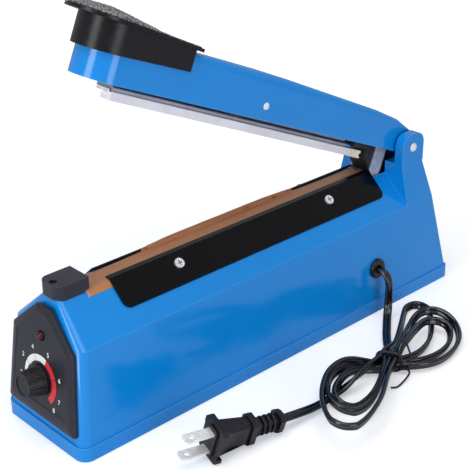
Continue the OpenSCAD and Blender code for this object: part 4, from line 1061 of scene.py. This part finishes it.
def make_sheet():
    """The coated cloth over the heating element, held by the near plate, with its far edge loose."""
    tree, plate = node_tree("cover_sheet"), node_tree("press_plate_far")
    low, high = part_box("cover_sheet")
    plate_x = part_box("press_plate_far")[0][0] / MM
    x0, x1 = low[0] / MM, high[0] / MM
    half = (high[1] - low[1]) / 2 / MM - CLOTH_INSET
    down, above = Vector((0, 0, -1)), 200
    columns, rows = 44, 190
    points = []
    for i in range(rows + 1):
        f = i / rows
        x = x0 + (x1 - x0) * f
        frayed = max(0.0, (f - FRAYED_FROM) / (1 - FRAYED_FROM))
        swell = ease(math.sin(math.pi * min(1, max(0, (f - SWELL_FROM) / SWELL_LONG))) * SWELL_FULL)
        loose_edge = EDGE_Y + EDGE_SWELL * swell + FAR_WAVE * wave(x / 11, 4, 9)
        far_edge = half + (loose_edge - half) * ease((x - plate_x + COME_IN) / COME_OVER)
        for k in range(columns + 1):
            side = 2 * k / columns - 1
            near_edge = half + min(0, NEAR_WAVE * wave(x / 9, side * 2, 3.1)) * abs(side)
            y = side * (far_edge if side > 0 else near_edge)
            hit = tree.ray_cast(Vector((x, y, above)) * MM, down)[0]
            z = hit.z / MM if hit else low[2] / MM + 0.3
            creases = wave(x / 26, y / 2.6, 0) + 0.5 * wave(x / 9, y / 1.8, 7)
            slack = CREASE_H * creases * (1 - min(1, abs(y) / CREASE_REACH)) - CLOTH_SUNK
            over = plate.ray_cast(Vector((x, y, above)) * MM, down)[0]
            if over:
                fullness = math.sin(math.pi * ease((y - SWELL_Y) / (far_edge - SWELL_Y)) * SWELL_ARC)
                z = over.z / MM + CLOTH_T + CLOTH_GAP + SWELL_H * swell * fullness
                slack = 0
            clear_of_stop = min(1.0, max(0.0, (abs(y) - STOP_CLEAR) / 2))
            ruffle = RUFFLE_H * frayed * clear_of_stop * abs(wave(x / 3.1, y / 2.2, 11))
            jag = JAG * wave(y / 1.3, 5, 1) * frayed
            points.append(Vector((x + jag, y, z + slack + ruffle)))
    under = [p - Vector((0, 0, CLOTH_T)) for p in points]
    mesh = closed_sheet("cover_sheet_cloth", points, under, rows, columns)
    sheet = add_object("cover_sheet_cloth", mesh, "base", "coated_cloth", ["cover_sheet"])


# ---- light and ground

# Strength of the world's light, and the share of full white mixed into it where a face mirrors it
WORLD_LIGHT, MIRRORED = 0.30, 0.35


def make_world():
    """Even light all round, brighter where it is mirrored, and white where it is seen."""
    world = bpy.data.worlds.new("studio")
    bpy.context.scene.world = world
    world.use_nodes = True
    tree = world.node_tree
    shade = tree.nodes["Background"]
    shade.inputs["Color"].default_value = WHITE
    shade.inputs["Strength"].default_value = WORLD_LIGHT
    seen = new_node(tree, "ShaderNodeBackground", Color=WHITE)
    rays = tree.nodes.new("ShaderNodeLightPath").outputs
    looks = new_node(tree, "ShaderNodeMath", rays["Is Camera Ray"], rays["Is Transmission Ray"],
                     operation="MAXIMUM")
    share = new_node(tree, "ShaderNodeMath", rays["Is Glossy Ray"], MIRRORED, looks.outputs[0],
                     operation="MULTIPLY_ADD")
    share.use_clamp = True
    mix = new_node(tree, "ShaderNodeMixShader", share.outputs[0], shade.outputs[0], seen.outputs[0])
    tree.links.new(mix.outputs[0], tree.nodes["World Output"].inputs["Surface"])


def area_light(name, place, size, power):
    """A soft box that faces the sealer's middle, in metres and watts."""
    middle = Vector((0, 0, 0.08))
    data = bpy.data.lights.new(name, "AREA")
    data.shape = "RECTANGLE"
    data.size, data.size_y = size
    data.energy = power
    obj = new_object(name, data)
    obj.location = place
    obj.rotation_euler = (middle - Vector(place)).to_track_quat("-Z", "Y").to_euler()


def make_lights():
    area_light("left_box", (-1.35, -0.15, 0.42), (0.5, 1.0), 9)
    area_light("front_box", (-0.1, -1.45, 0.30), (0.6, 1.1), 8)
    area_light("top_box", (-0.3, -0.2, 1.5), (1.3, 1.3), 12)


# Half the floor's side, and the distances from the middle over which it grows paler, in metres
FLOOR_REACH, PALER_FROM, PALER_TO = 6.0, 0.15, 0.7
# How much the floor glows to the camera, in the middle and far out
GLOW_NEAR, GLOW_FAR = 0.37, 0.66
# The floor lies this far under the tray's feet, in metres
FLOOR_DROP = 0.0002


def make_floor():
    """The pale ground, which glows a little where the camera sees it."""
    corners = [(x * FLOOR_REACH, y * FLOOR_REACH, 0) for x, y in ((-1, -1), (1, -1), (1, 1), (-1, 1))]
    mesh = mesh_of("floor", corners, [(0, 1, 2, 3)], scale=1)
    made = Stuff("floor", (0.80, 0.82, 0.86), 0.6)
    plain_look = made.shader.outputs[0]
    place = made.node("ShaderNodeNewGeometry").outputs["Position"]
    away = made.node("ShaderNodeVectorMath", place, operation="LENGTH").outputs["Value"]
    strength = made.ramp(away, PALER_FROM, PALER_TO, GLOW_NEAR, GLOW_FAR)
    glow = made.node("ShaderNodeEmission", WHITE, strength).outputs[0]
    glowing = made.node("ShaderNodeAddShader", plain_look, glow).outputs[0]
    seen = made.node("ShaderNodeLightPath").outputs["Is Camera Ray"]
    look = made.node("ShaderNodeMixShader", seen, plain_look, glowing).outputs[0]
    made.tree.links.new(look, made.tree.nodes["Material Output"].inputs["Surface"])
    coat(mesh, "floor")
    obj = new_object("floor", mesh)
    obj.location.z = -FLOOR_DROP


# ---- all together

bpy.context.scene.view_settings.view_transform = "Standard"
make_camera()
make_materials()
make_lead()
dress_nodes()
make_dial()
make_pad()
make_sheet()
make_world()
make_lights()
make_floor()
